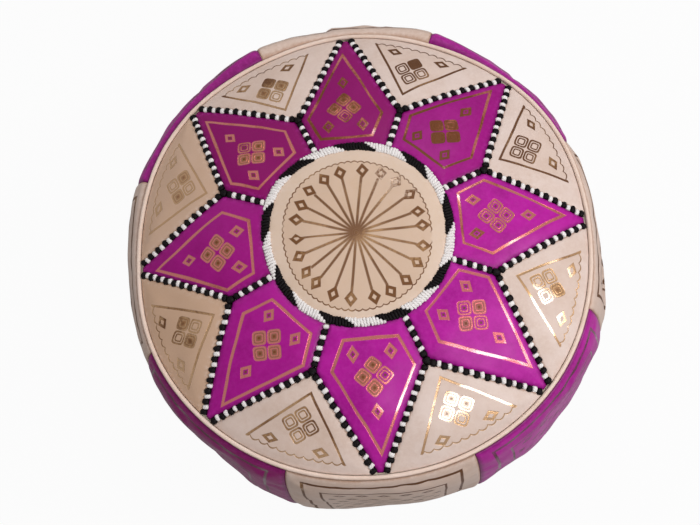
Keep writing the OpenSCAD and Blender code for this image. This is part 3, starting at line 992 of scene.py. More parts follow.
@dataclass(frozen=True)
class Leather:
    """Dyed leather with a pressed foil ornament."""

    name: str
    colour: Colour
    deep: Colour
    pale: Colour
    # edge is the colour of the painted shade along the seams.
    edge: Colour
    # aged is the tint of real ageing and browning, and also of painted shade on panels that face away
    # from the key light.
    aged_and_shade_tint: Colour
    foil: Colour
    solid_foil: Colour
    burnt: Colour
    stamp: Stamp = Stamp.NONE
    rough: float = 0.5
    gloss: float = 0.3
    foil_metal: float = 0.75
    foil_rough: float = 0.25
    coat_rough: float = 0.16
    coat_ior: float = 2.3
    wear: float = 0.4
    grain: float = 0.5
    # Reach in millimetres of the painted shade along the seams.
    seam_shade_reach: float = 2.6

    def make(self) -> Material:
        """Builds the material."""
        material, g, shader = new_material(self.name)
        place = place_of(g)
        stamp = stored(g, "stamp").outputs["Vector"]
        height, mottle, streak = put_group(
            g, leather_grain(), {"Position": place, "Seed": g.split(stamp)[2]})
        shade, rub = put_group(g, edge_wear(), {
            "Position": place, "Seam": stored(g, "seam").outputs["Fac"], "Reach": self.seam_shade_reach})
        # depth darkens the leather toward its ageing tint, partly real ageing and partly painted shade on
        # panels that face away from the key light; shade paints shade along the seams in the edge colour.
        depth, dark = g.split(stored(g, "dye").outputs["Vector"])[:2]
        colour = g.blend(mottle, self.colour, self.deep)
        for share, other in ((streak * 0.4, self.pale), (depth, self.aged_and_shade_tint),
                             (shade * 0.6, self.edge), (rub * 0.3, self.pale)):
            colour = g.blend(share, colour, other)
        rough = mottle * 0.1 + streak * 0.08 + (self.rough - 0.08)
        relief = height * 0.00018 * self.grain
        looks = {"Specular IOR Level": self.gloss}
        if self.stamp is not Stamp.NONE:
            lines, fill, dots, browned = put_group(g, STAMP_GROUPS[self.stamp](), {"Stamp": stamp})
            hold, burn, press = put_group(g, worn_foil(), {
                "Mask": lines.over(fill), "Position": place, "Wear": self.wear, "Dark": dark})
            solid = fill * lines.less()
            metal = g.blend(burn, g.blend(solid, self.foil, self.solid_foil), self.burnt)
            for share, other in ((browned * 0.5, self.aged_and_shade_tint), (press * (dark * 0.5 + 0.2), self.burnt),
                                 (hold, metal), (dots * 0.9, self.burnt)):
                colour = g.blend(share, colour, other)
            shine = hold * burn.less() * dots.less() * (solid * -0.5 + 1.0)
            rough = rough - shine * (self.rough - self.foil_rough)
            relief = relief - (lines * 0.8 + fill * 0.2) * 0.00028
            looks |= {"Metallic": shine * self.foil_metal, "Coat Weight": shine,
                      "Coat Roughness": self.coat_rough, "Coat IOR": self.coat_ior}
        surface(g, shader, colour, rough, relief, looks)
        return material


STAMP_GROUPS = {kind: once(lambda kind=kind, draw=draw: stamp_group(f"{kind.value}_stamp", draw))
                for kind, draw in STAMPS.items()}


@dataclass(frozen=True)
class Thread:
    """Twisted lacing or sewing thread."""

    name: str
    colour: Colour
    shade: Colour
    rough: float = 0.6
    gloss: float = 0.14
    twist: float = 1500.0

    def make(self) -> Material:
        """Builds the material."""
        material, g, shader = new_material(self.name)
        place = place_of(g)
        lay = stored(g, "lay").outputs["Vector"]
        x, y = g.split(lay)[:2]
        strand = abs((y * self.twist + x * self.twist).math("SINE"))
        fuzz = g.noise(place, 2400.0, 3.0, 0.7)
        dirt = g.noise(place, 60.0, 3.0, 0.6)
        share = (strand.less() * 0.5 + fuzz * 0.4 + dirt * 0.4 - 0.2).held()
        surface(g, shader, g.blend(share, self.colour, self.shade), fuzz * 0.2 + (self.rough - 0.1),
                strand * 0.0002 + fuzz * 0.00012, {"Specular IOR Level": self.gloss})
        return material


@dataclass(frozen=True)
class Cloth:
    """Plain woven cotton or zip tape."""

    name: str
    colour: Colour
    shade: Colour
    pitch: float
    slanted: bool = False

    def make(self) -> Material:
        """Builds the material."""
        material, g, shader = new_material(self.name)
        place = place_of(g)
        x, y, z = g.split(place)
        step = math.tau / self.pitch
        if self.slanted:
            slope = abs((x * (1 / 0.006)).math("FRACT") - 0.5) * 0.006
            weave = abs(((slope + y) * step).math("SINE"))
        else:
            over = ((x + y) * step).math("SINE") * ((x - y + z) * step).math("SINE")
            weave = over * 0.5 + 0.5
        fuzz = g.noise(place, 1800.0, 3.0, 0.7)
        soil = g.noise(place, 18.0, 3.0, 0.6)
        share = (weave.less() * 0.45 + fuzz * 0.25 + soil * 0.3).held()
        surface(g, shader, g.blend(share, self.colour, self.shade), fuzz * 0.1 + 0.8,
                weave * 0.0002 + fuzz * 0.0001)
        return material


@dataclass(frozen=True)
class Brass:
    """Worn zip metal."""

    name: str
    colour: Colour
    tarnish: Colour
    rough: float = 0.32

    def make(self) -> Material:
        """Builds the material."""
        material, g, shader = new_material(self.name)
        place = place_of(g)
        cloud = g.noise(place, 120.0, 4.0, 0.6).ramp(0.4, 0.75)
        scratch_place = g.node("ShaderNodeMapping", {"Vector": place, "Rotation": (0.0, 0.0, 0.4),
                                                     "Scale": (300.0, 4200.0, 900.0)}).outputs[0]
        scratch = g.noise(scratch_place, 1.0, 2.0, 0.6)
        surface(g, shader, g.blend(cloud, self.colour, self.tarnish),
                cloud * 0.2 + scratch * 0.12 + self.rough, scratch * 0.00003, {"Metallic": 1.0})
        return material


Finish = Leather | Thread | Cloth | Brass


@dataclass
class Finishes:
    """Every material of the pouf, built once."""

    made: dict[str, Material] = field(default_factory=dict)

    def get(self, finish: Finish) -> Material:
        """The finish's material, built at first use."""
        if finish.name not in self.made:
            self.made[finish.name] = finish.make()
        return self.made[finish.name]

    def settle(self, piece: Piece, finish: Finish, slot: str, *nodes: str) -> None:
        """Dresses a finished piece and puts it in the place of its nodes.

        Args:
            piece: the finished object.
            finish: what it is made of.
            slot: the record's material slot; not used.
            nodes: the nodes that it stands for.
        """
        dress(piece, self.get(finish))
        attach(piece, "pouf")
        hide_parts(*nodes)
        log.info("piece %s rides on pouf, %d faces", piece.name, len(piece.data.polygons))


def dress(piece: Piece, material: Material) -> None:
    """Gives a piece one material."""
    piece.data.materials.clear()
    piece.data.materials.append(material)


# In these leathers edge is the painted shade along the seams, and aged, beside real ageing and browning,
# serves as painted shade on panels away from the key light.
KITE_LEATHER = Leather(
    "kite_leather", linear(188, 26, 160), deep=linear(162, 8, 136), pale=linear(192, 50, 168),
    edge=linear(92, 0, 74), aged_and_shade_tint=linear(138, 0, 98), foil=linear(218, 104, 84),
    solid_foil=linear(146, 88, 40), burnt=linear(112, 62, 30), stamp=Stamp.KITE,
    rough=0.4, gloss=0.19, wear=0.2, seam_shade_reach=6.0)
MAGENTA_SIDE = replace(KITE_LEATHER, name="magenta_side_leather", foil=linear(128, 92, 98),
                       burnt=linear(92, 52, 66), stamp=Stamp.SIDE, gloss=0.3, wear=0.5)
WEDGE_LEATHER = Leather(
    "wedge_leather", linear(223, 202, 193), deep=linear(212, 187, 174), pale=linear(231, 213, 204),
    edge=linear(176, 132, 102), aged_and_shade_tint=linear(198, 160, 130), foil=linear(196, 146, 88),
    solid_foil=linear(160, 110, 58), burnt=linear(98, 60, 32), stamp=Stamp.WEDGE, wear=0.18)
DISC_LEATHER = replace(WEDGE_LEATHER, name="disc_leather", colour=linear(232, 210, 192),
                       deep=linear(224, 199, 177), burnt=linear(114, 72, 38), stamp=Stamp.DISC,
                       wear=0.12)
NATURAL_SIDE = replace(WEDGE_LEATHER, name="natural_side_leather", stamp=Stamp.SIDE, wear=0.15)
BASE_LEATHER = replace(WEDGE_LEATHER, name="base_leather", stamp=Stamp.NONE, rough=0.58)
# Its edge colour is the painted shade down the welt's sides.
PIPING_LEATHER = replace(BASE_LEATHER, name="piping_leather", colour=linear(234, 210, 196),
                         deep=linear(226, 198, 180), pale=linear(240, 220, 208),
                         edge=linear(150, 100, 72), rough=0.46)
BLACK_THREAD = Thread("black_thread", linear(18, 12, 15), linear(10, 7, 8), 0.5)
WHITE_THREAD = Thread("white_thread", linear(251, 248, 247), linear(220, 209, 205), 0.62)
COTTON = Cloth("cotton_cloth", linear(226, 216, 196), linear(196, 184, 162), 0.0016)
TAPE = Cloth("zip_tape", linear(64, 54, 48), linear(36, 30, 27), 0.0012, True)
LINT = Cloth("cotton_waste", linear(236, 230, 218), linear(202, 192, 174), 0.009)
CORD = Cloth("piping_cord", linear(220, 210, 190), linear(186, 172, 150), 0.002)
ZIP_BRASS = Brass("zip_brass", linear(214, 178, 110), linear(150, 112, 62))


# The top


@dataclass(frozen=True)
class StarRow:
    """The eight kites or the eight wedges: what they share, and how each looks, clockwise.

    Fill says how many diamonds of the cluster are solid, dye how far the leather darkens
    toward its ageing tint, which is partly real ageing and partly painted shade on the panels that
    face away from the key light, dark how far the foil is burnt, and marks how far the ornament has
    moved, in millimetres.
    """

    name: str
    node: str
    leather: Leather
    late: float
    seed: int
    puff: float
    least: float
    fill: tuple[float, ...]
    dye: tuple[float, ...]
    dark: tuple[float, ...]
    marks: tuple[tuple[float, float], ...]


@dataclass
class StarTop:
    """Centre disc, eight kites and eight wedges."""

    cushion: Cushion
    plan: StarPlan
    finishes: Finishes
    leather_t: float = 0.0014
    sunk: float = 0.004
    disc_puff: float = 0.0015
    disc_seed: float = 40.0
    disc_dye: tuple[float, float] = (0.3, 0.7)
    full_width: float = 0.03
    swell_reach: float = 0.014
    wave_reach: float = 0.02
    edge_drop: float = 0.0013
    edge_reach: float = 0.0011
    pucker: float = 0.0004
    pucker_reach: float = 0.0035
    stitch_pitch: float = 0.00517
    cover: float = 0.0022
    split: float = 0.34
    ring_pulls: int = 24
    waves: Waves = Waves(11, 0.03, 0.09, 0.00075)
    kites: StarRow = StarRow(
        "kite", "kite_panel", KITE_LEATHER, late=0.0, seed=0, puff=0.003, least=0.15,
        fill=(0.9, 0.95, 0.2, 0.3, 0.7, 0.95, 0.95, 0.5),
        # Highest on the back and left kites, away from the key light: partly real ageing, partly painted
        # shade.
        dye=(0.95, 0.5, 0.1, 0.0, 0.1, 0.35, 0.6, 1.0),
        dark=(0.55, 0.62, 0.3, 0.1, 0.2, 0.2, 0.2, 0.35),
        marks=((-3.5, 3.9), (-1.0, 3.6), (-4.0, 3.5), (-5.5, 5.0),
               (0.0, 3.0), (0.0, 4.7), (1.0, 5.0), (-2.8, 2.7)))
    wedges: StarRow = StarRow(
        "wedge", "top_wedge", WEDGE_LEATHER, late=0.5, seed=20, puff=0.0025, least=0.1,
        fill=(0.05, 0.3, 0.6, 0.5, 0.1, 0.9, 0.8, 0.74),
        # High on wedges 6 and 7, on the left away from the key light: partly their own browning, partly
        # painted shade.
        dye=(0.0, 0.0, 0.0, 0.0, 0.1, 0.85, 0.75, 0.1),
        dark=(0.85, 0.8, 0.25, 0.2, 0.5, 0.4, 0.15, 0.6),
        marks=((-1.5, 4.5), (-1.5, 4.5), (-0.6, 2.9), (-2.8, 6.0),
               (-1.5, 4.5), (-1.5, 4.5), (-1.5, 2.8), (-1.0, 6.1)))

    def lift(self, world: Array, seam: Array, puff: Array | float, along: Array,
             pitch: float) -> Array:
        """How far the outer face stands off the seam level.

        Args:
            world: where the panel's points lie on the pouf.
            seam: distance to the nearest seam.
            puff: swelling in the middle of the panel.
            along: distance along the seam, for the pull of the stitches.
            pitch: distance between two stitches.

        Returns:
            The lift of each point.
        """
        rise = puff * (1 - np.exp(-seam / self.swell_reach))
        rise += self.waves.at(world) * smooth(seam / self.wave_reach)
        rise -= self.edge_drop * np.exp(-seam / self.edge_reach)
        pull = 0.5 + 0.5 * np.cos(math.tau * along / pitch)
        return rise - self.pucker * pull * np.exp(-seam / self.pucker_reach)

    def panel(self, name: str, node: str, leather: Leather, plan: Array, angle: float, seam: Array,
              puff: Array | float, along: Array, pitch: float, seed: float,
              dye: tuple[float, float], marks: tuple[float, float] = (0.0, 0.0)) -> None:
        """Builds one panel of the top.

        Args:
            name: name of the piece.
            node: the node that it replaces.
            leather: its finish.
            plan: its grid of points in its own plan.
            angle: where its axis lies about Z.
            seam: distance of each point to the nearest seam.
            puff: swelling in its middle.
            along: distance along the seam.
            pitch: distance between two stitches.
            seed: number of its ornament, and how much of it is solid.
            dye: how far its leather darkens toward its ageing tint, partly real ageing and partly painted
                shade, and how burnt its foil is.
            marks: how far its ornament has moved, in millimetres.
        """
        form = self.cushion
        world = turned(form.on_top(plan, 0.0), angle)
        lift = self.lift(world, seam, puff, along, pitch)
        outer = turned(form.on_top(plan, lift), angle)
        inner = turned(form.on_top(plan, np.minimum(lift, self.sunk) - self.leather_t), angle)
        stamp = with_third(plan - np.array(marks) / 1000, seed)
        piece = Grid(outer, inner, stamp, seam, dye).build(name)
        slot = "magenta_leather" if leather is KITE_LEATHER else "natural_leather"
        self.finishes.settle(piece, leather, slot, node)

    def star_panel(self, row: StarRow, number: int, plan: Array, edge: Array, seam: Array,
                   start: Array) -> None:
        """Builds one kite or wedge, whose stitches are counted from the place start."""
        look = number - 1
        puff = row.puff * np.clip(np.abs(edge[..., 1]) / self.full_width, row.least, 1)
        self.panel(f"{row.name}_{number}", f"{row.node}_{number}", row.leather, plan,
                   math.pi / 2 - SECTOR * (look + row.late), seam, puff,
                   np.linalg.norm(folded(plan) - start, axis=-1), self.stitch_pitch,
                   number + row.seed + row.fill[look], (row.dye[look], row.dark[look]),
                   row.marks[look])

    def kite(self, number: int) -> None:
        """Builds one kite, which points outwards along its own X."""
        star = self.plan
        neck = beside(star.spoke) * star.channel
        low = neck + star.spoke * to_circle(neck, star.spoke,
                                            star.ring_r + star.ring_w / 2 - self.cover)
        side = star.notch + beside(star.seam) * star.channel
        corner = meet(neck, star.spoke, side, star.seam)
        tip = side + star.seam * ((self.cushion.top_edge_r - star.tip_blunt - side[0]) / star.seam[0])
        across, down = np.meshgrid(spaced(48, 0.75), spaced(64, 0.5))
        upper = np.clip(down / self.split, 0, 1)[..., None]
        lower = np.clip((down - self.split) / (1 - self.split), 0, 1)[..., None]
        edge = np.where((down < self.split)[..., None], mix(low, corner, upper),
                        mix(corner, tip, lower))
        inner_r = np.linalg.norm(low)
        plan = mix(edge, edge * MIRRORED, across[..., None])
        plan = plan + bowed(low, inner_r, across) * (1 - upper)
        seam = np.minimum.reduce([
            line_distance(folded(plan), low, corner), line_distance(folded(plan), corner, tip),
            np.abs(np.linalg.norm(plan, axis=-1) - inner_r), np.abs(tip[0] - plan[..., 0])])
        self.star_panel(self.kites, number, plan, edge, seam, star.notch)

    def wedge(self, number: int) -> None:
        """Builds one wedge, whose apex is at the notch."""
        star = self.plan
        rim_r = self.cushion.top_edge_r
        apex = np.array([star.notch_r, 0.0])
        along_seam = unit(turned(star.tip * MIRRORED, SECTOR / 2) - apex)
        start = apex + beside(along_seam) * star.channel
        near = start + along_seam * ((star.tip_blunt - start[1]) / along_seam[1])
        outer = start + along_seam * to_circle(start, along_seam, rim_r)
        across, down = np.meshgrid(spaced(48, 0.75), spaced(44, 0.65))
        edge = mix(near, outer, down[..., None])
        plan = mix(edge, edge * MIRRORED, across[..., None])
        plan = plan + bowed(outer, rim_r, across) * down[..., None]
        # Along the rim the seam distance starts 2 mm out, which softens the edge drop and the painted
        # seam shade there.
        seam = np.minimum(line_distance(folded(plan), near, outer),
                          np.abs(rim_r - np.linalg.norm(plan, axis=-1)) + 0.002)
        self.star_panel(self.wedges, number, plan, edge, seam, apex)

    def disc(self) -> None:
        """Builds the centre disc on a square grid drawn out to a circle."""
        star = self.plan
        marks = 2 * spaced(96, 0.55) - 1
        across, down = np.meshgrid(marks, marks)
        wide = np.abs(across) >= np.abs(down)
        radius = np.where(wide, across, down)
        safe = np.where(radius == 0, 1, radius)
        turn = np.where(wide, np.pi / 4 * down / safe, np.pi / 2 - np.pi / 4 * across / safe)
        edge_r = star.ring_r - star.ring_w / 2 + self.cover
        plan = radius[..., None] * heading(turn) * edge_r
        seam = np.clip(edge_r - np.linalg.norm(plan, axis=-1), 0, None)
        around = np.arctan2(plan[..., 1], plan[..., 0]) * star.ring_r
        pitch = star.ring_r * math.tau / (KITES * self.ring_pulls)
        self.panel("disc", "centre_disc", DISC_LEATHER, plan, 0.0, seam, self.disc_puff, around,
                   pitch, self.disc_seed, self.disc_dye)

    def build(self) -> None:
        """Builds all the panels of the top."""
        self.disc()
        for number in range(1, KITES + 1):
            self.kite(number)
            self.wedge(number)


# The lacing

STITCH_INPUTS = (("Size", "vector", (1.0, 1.0, 1.0)), ("Slant", "number", 0.0),
                 ("Jitter", "number", 0.06), ("Seed", "count", 1), ("Stitch", "object"),
                 ("Finish", "material"))


@once
def path_stitches() -> Tree:
    """Stitches of one colour at even steps along seam lines."""
    g = new_tree("path_stitches", "GeometryNodeTree", [
        ("Lines", "shape"), ("Colour", "count", 0), ("Every", "count", 2), *STITCH_INPUTS],
        [("Stitches", "shape")])
    ends = g.node("NodeGroupInput")
    curve = g.node("GeometryNodeMeshToCurve", {0: ends.outputs["Lines"]})
    steps = g.node("GeometryNodeResampleCurve", {"Curve": curve.outputs[0],
                                                 "Length": named(g, "step", "FLOAT")}, mode="LENGTH")
    index = g.num(g.node("GeometryNodeSplineParameter").outputs["Index"])
    phase = g.num(named(g, "phase", "FLOAT"))
    turn = (index + phase + g.num(ends.outputs["Colour"]) + 0.1) / g.num(ends.outputs["Every"])
    first = (turn.math("FRACT") * g.num(ends.outputs["Every"])).math("LESS_THAN", 0.9)
    tangent = g.node("GeometryNodeInputTangent").outputs[0]
    finish_stitches(g, ends, steps.outputs[0], first, tangent, None)
    return g.tree


@once
def placed_stitches() -> Tree:
    """Stitches at marked places, each with its own direction and length."""
    g = new_tree("placed_stitches", "GeometryNodeTree", [
        ("Marks", "shape"), *STITCH_INPUTS], [("Stitches", "shape")])
    ends = g.node("NodeGroupInput")
    finish_stitches(g, ends, ends.outputs["Marks"], None, named(g, "along"), named(g, "size"))
    return g.tree


def named(g: Graph, name: str, sort: str = "FLOAT_VECTOR") -> Socket:
    """Reads an attribute inside a geometry tree."""
    return g.node("GeometryNodeInputNamedAttribute", {"Name": name}, data_type=sort).outputs[0]


def finish_stitches(g: Graph, ends: Node, points: Socket,
                    chosen: Num | None, along: Socket,
                    size: Socket | None) -> None:
    """Ends a stitch tree: sets the stitch on each point, makes it real and gives it its material.

    Args:
        g: the tree's graph.
        ends: its input node.
        points: where the stitches go.
        chosen: which points take one, or None for all.
        along: direction of the seam at each point.
        size: each stitch's own size, or None for one size.
    """
    seed = ends.outputs["Seed"]
    ahead = g.node("FunctionNodeAlignRotationToVector", {"Vector": along}, axis="X")
    upright = g.node("FunctionNodeAlignRotationToVector",
                     {"Rotation": ahead.outputs[0], "Vector": named(g, "up")}, axis="Z", pivot_axis="X")
    jitter = g.num(ends.outputs["Jitter"])
    swing = g.node("FunctionNodeRandomValue", {"Seed": seed}, data_type="FLOAT")
    g.feed(swing.inputs[2], jitter * -1.5)
    g.feed(swing.inputs[3], jitter * 1.5)
    slant = g.num(swing.outputs[1]) + g.num(ends.outputs["Slant"])
    spin = g.node("FunctionNodeEulerToRotation", {0: g.join(0.0, 0.0, slant)})
    rotation = g.node("FunctionNodeRotateRotation", {0: upright.outputs[0], 1: spin.outputs[0]},
                      rotation_space="LOCAL")
    grown = g.node("FunctionNodeRandomValue", {"Seed": seed}, data_type="FLOAT_VECTOR")
    low, high = jitter * -1.0 + 1.0, jitter + 1.0
    g.feed(grown.inputs[0], g.join(low, low, low))
    g.feed(grown.inputs[1], g.join(high, high, high))
    scale = g.node("ShaderNodeVectorMath", {0: grown.outputs[0], 1: ends.outputs["Size"]},
                   operation="MULTIPLY").outputs[0]
    if size is not None:
        scale = g.node("ShaderNodeVectorMath", {0: scale, 1: size}, operation="MULTIPLY").outputs[0]
    stitch = g.node("GeometryNodeObjectInfo", {0: ends.outputs["Stitch"]})
    feeds = {"Points": points, "Instance": stitch.outputs["Geometry"], "Rotation": rotation.outputs[0],
             "Scale": scale}
    if chosen is not None:
        feeds["Selection"] = chosen
    copies = g.node("GeometryNodeInstanceOnPoints", feeds)
    real = g.node("GeometryNodeRealizeInstances", {0: copies.outputs[0]})
    done = g.node("GeometryNodeSetMaterial", {0: real.outputs[0], "Material": ends.outputs["Finish"]})
    g.node("NodeGroupOutput", {0: done.outputs[0]})


def stitch_shape(name: str, threads: int, spans: int, sides: int) -> Piece:
    """One stitch of unit size: a rounded bar whose threads run across the seam, along Y.

    Args:
        name: name of the object.
        threads: number of threads that lie beside each other.
        spans: faces along the seam.
        sides: faces across it.

    Returns:
        The stitch, a closed shell that reaches below the leather.
    """
    along, across = np.meshgrid(np.linspace(-1, 1, spans + 1), 2 * spaced(sides, 0.7) - 1)
    away = np.abs(along) ** 2.6 + np.abs(across) ** 2.4
    ridge = 1 - 0.13 * (0.5 + 0.5 * np.cos(np.pi * threads * (along + 1)))
    height = np.clip(1 - away, 0, 1) ** 0.4 * ridge
    rim = (np.abs(along) > 0.999) | (np.abs(across) > 0.999)
    height[rim] = -0.35
    pinch = 1 - 0.1 * np.abs(across) ** 3, 1 - 0.12 * np.abs(along) ** 3
    points = np.stack([along * pinch[0] / 2, across * pinch[1] / 2, height], -1)
    faces, loop = sheet_faces(*along.shape)
    piece = add_mesh(name, points.reshape(-1, 3), [*faces.tolist(), loop[::-1].tolist()])
    lay = np.stack([along * 0.0015, across * 0.003, height * 0], -1)
    store(piece, "lay", lay.reshape(-1, 3))
    return piece


def grow(name: str, start: Piece, tree: Tree,
         inputs: dict[str, object]) -> Piece:
    """Runs a geometry tree on an object, keeps the result as a plain mesh and removes the object.

    Args:
        name: name of the finished object.
        start: what the tree starts from.
        tree: the tree.
        inputs: the tree's inputs by name.

    Returns:
        The finished object.
    """
    modifier = start.modifiers.new("grow", "NODES")
    modifier.node_group = tree
    keys = {item.name: item.identifier for item in tree.interface.items_tree
            if item.item_type == "SOCKET" and item.in_out == "INPUT"}
    for title, value in inputs.items():
        modifier[keys[title]] = value
    start.update_tag()
    mesh = bpy.data.meshes.new_from_object(evaluated(start))
    mesh.name = name
    mesh.shade_smooth()
    discard(start)
    return add_object(name, mesh)


def marks_object(name: str, points: Array, along: Array, up: Array, size: Array) -> Piece:
    """Loose corners that say where stitches go."""
    piece = add_mesh(name, points, [])
    for key, values in (("along", along), ("up", up), ("size", size)):
        store(piece, key, values)
    return piece


def discard(*pieces: Piece) -> None:
    """Removes helper objects."""
    for piece in pieces:
        bpy.data.objects.remove(piece)


def evaluated(piece: Piece) -> Piece:
    """The piece as its modifiers leave it."""
    bpy.context.view_layer.update()
    return piece.evaluated_get(bpy.context.evaluated_depsgraph_get())


def join_meshes(name: str, parts: Sequence[Piece]) -> Piece:
    """Makes one object of several and keeps their materials."""
    with bpy.context.temp_override(active_object=parts[0], object=parts[0],
                                   selected_editable_objects=list(parts), selected_objects=list(parts)):
        bpy.ops.object.join()
    parts[0].name = name
    parts[0].data.name = name
    return parts[0]


@dataclass
class Lacing:
    """Black and white stitches along the star's seams and round the disc.

    The ring's bands are the middles of the black ones, in degrees about Z.
    """

    cushion: Cushion
    plan: StarPlan
    finishes: Finishes
    rise: float = 0.0023
    black_size: tuple[float, float, float] = (0.0058, 0.0074, 0.0024)
    white_size: tuple[float, float, float] = (0.0049, 0.0066, 0.0022)
    knot_size: tuple[float, float, float] = (0.0056, 0.0082, 0.0027)
    knot_space: float = 0.00397
    spoke_stitches: int = 8
    seam_stitches: int = 21
    ring_black: float = 0.46
    ring_slant: float = 0.22
    ring_step: float = 1.875
    ring_lead: float = 13.6
    ring_bands: tuple[float, ...] = (89.0, 46.7, 7.2, -36.0, -74.8, -108.7, -146.2, -190.9, -232.3)
    shortest: float = 0.0016
    line_points: int = 12

    def seam_line(self, start: Array, along: Array, length: float, count: int, angle: float,
                  ) -> tuple[Array, Array]:
        """Points along a seam, from the middle of its first stitch to its last, and their up."""
        half = length / count / 2
        reach = np.linspace(half, length - half, self.line_points)
        plan = turned(start + along * reach[:, None], angle)
        return SEWING.shift(self.cushion.on_top(plan, 0.0)), self.cushion.top_normal(plan)

    def star_lines(self, lean: float) -> Piece:
        """The star's seams as lines, with the side that is up and the colour that comes first.

        Args:
            lean: how far the stitches lie towards the wedge's side of a seam.

        Returns:
            The lines.
        """
        star = self.plan
        ring = star.ring_r + star.ring_w / 2 + 0.00025
        knot = star.notch + star.seam * self.knot_space - beside(star.seam) * lean
        run = float(np.linalg.norm(star.tip - star.notch)) - self.knot_space - 0.0012
        seams = ((ring * star.spoke, star.spoke, star.notch_r - self.knot_space - ring,
                  self.spoke_stitches, 1),
                 (knot, star.seam, run, self.seam_stitches, 0),
                 (knot * MIRRORED, star.seam * MIRRORED, run, self.seam_stitches, 0))
        points, ups, phases, steps = [], [], [], []
        for number in range(KITES):
            for start, along, length, count, phase in seams:
                line, up = self.seam_line(start, along, length, count,
                                          math.pi / 2 - SECTOR * number)
                span = np.linalg.norm(np.diff(line, axis=0), axis=-1).sum() / (count - 1)
                points.append(line)
                ups.append(up)
                phases.append(np.full(self.line_points, phase))
                steps.append(np.full(self.line_points, span * 0.997))
        index = np.arange(len(points) * self.line_points).reshape(-1, self.line_points)
        edges = np.stack([index[:, :-1], index[:, 1:]], -1).reshape(-1, 2)
        lines = add_mesh("star_lines", np.concatenate(points), [], edges)
        for key, values in (("up", ups), ("phase", phases), ("step", steps)):
            store(lines, key, np.concatenate(values))
        return lines

    def sew(self, name: str, start: Piece, tree: Tree, finish: Thread, **inputs: object) -> Piece:
        """Grows stitches of one thread on lines or marks, with the tree's other inputs by name."""
        return grow(name, start, tree, {"Finish": self.finishes.get(finish), **inputs})

    def knots(self, stitch: Piece) -> Piece:
        """The black knots where three seams meet, each of three crossed stitches."""
        points, along, up = [], [], []
        for number in range(KITES):
            angle = math.pi / 2 - SECTOR * (number - 0.5)
            for turn, out in ((0.0, 0.0), (1.05, 0.0006), (-1.05, 0.0012)):
                place = heading(angle)[None] * (self.plan.notch_r + out - 0.0006)
                normal = self.cushion.top_normal(place)[0]
                points.append(SEWING.shift(self.cushion.on_top(place, out / 6))[0])
                flat = polar(1.0, angle + turn, 0.0)
                along.append(flat - normal * (flat @ normal))
                up.append(normal)
        size = np.tile(self.knot_size, (len(points), 1))
        marks = marks_object("knot_marks", np.array(points), np.array(along), np.array(up), size)
        return self.sew("knots", marks, placed_stitches(), BLACK_THREAD, Size=(1.0, 1.0, 1.0),
                        Slant=0.0, Jitter=0.05, Seed=5, Stitch=stitch)

    def star(self, stitch: Piece) -> None:
        """Builds the star's lacing in both colours."""
        for colour, (shade, finish, size, lean) in enumerate((
                ("black", BLACK_THREAD, self.black_size, 0.0006),
                ("white", WHITE_THREAD, self.white_size, -0.0004))):
            piece = self.sew(f"star_lacing_{shade}_thread", self.star_lines(lean), path_stitches(),
                             finish, Colour=colour, Every=2, Size=size, Slant=0.2, Jitter=0.1,
                             Seed=21 + colour, Stitch=stitch)
            if finish is BLACK_THREAD:
                piece = join_meshes(piece.name, [piece, self.knots(stitch)])
            self.finishes.settle(piece, finish, f"{shade}_thread", f"star_lacing_{shade}")

    def ring_marks(self, colour: int) -> tuple[Array, Array, Array, Array]:
        """Places, directions, ups and sizes of the ring's stitches, black at 0 and white at 1."""
        star = self.plan
        inner, outer = star.ring_r - star.ring_w / 2 - 0.0004, star.ring_r + star.ring_w / 2
        wide = 1.3 * star.ring_r * math.radians(self.ring_step)
        black, slant = self.ring_black, self.ring_slant
        places, along, size = [], [], []
        starts = np.append(self.ring_bands, self.ring_bands[0] - 360.0) + self.ring_lead
        for start, end in zip(starts, starts[1:]):
            count = round((start - end) / self.ring_step)
            for share in (np.arange(count) + 0.5) / count:
                early, late = share < slant, black < share < black + slant
                first = share / slant if early else (share - black) / slant if late else 1.0
                parting = outer - first * star.ring_w
                direction = heading(math.radians(start + (end - start) * share))
                for shade, low, high in ((int(share >= black), parting, outer),
                                         (int(early or share > black + slant), inner, parting)):
                    length = high - low
                    if shade != colour or length < self.shortest:
                        continue
                    places.append(direction * (low + high) / 2)
                    along.append(with_third(-beside(direction), 0.0))
                    height = self.rise * (0.8 + 0.2 * min(1, length / 0.006))
                    size.append((wide, length + 0.0008, height))
        plan = np.array(places)
        return (SEWING.shift(self.cushion.on_top(plan, 0.0)), np.array(along),
                self.cushion.top_normal(plan), np.array(size))

    def ring(self, stitch: Piece) -> None:
        """Builds the ring's lacing in both colours."""
        for colour, (shade, finish) in enumerate((("black", BLACK_THREAD), ("white", WHITE_THREAD))):
            marks = marks_object(f"ring_marks_{shade}", *self.ring_marks(colour))
            piece = self.sew(f"ring_lacing_{shade}_thread", marks, placed_stitches(), finish,
                             Size=(1.0, 1.0, 1.0), Slant=0.18, Jitter=0.09, Seed=31 + colour,
                             Stitch=stitch)
            self.finishes.settle(piece, finish, f"{shade}_thread", f"ring_lacing_{shade}")

    def build(self) -> None:
        """Builds all the lacing."""
        stitch = stitch_shape("stitch", 4, 8, 6)
        whip = stitch_shape("whip_stitch", 2, 4, 8)
        self.star(stitch)
        self.ring(whip)
        discard(stitch, whip)


# The sides


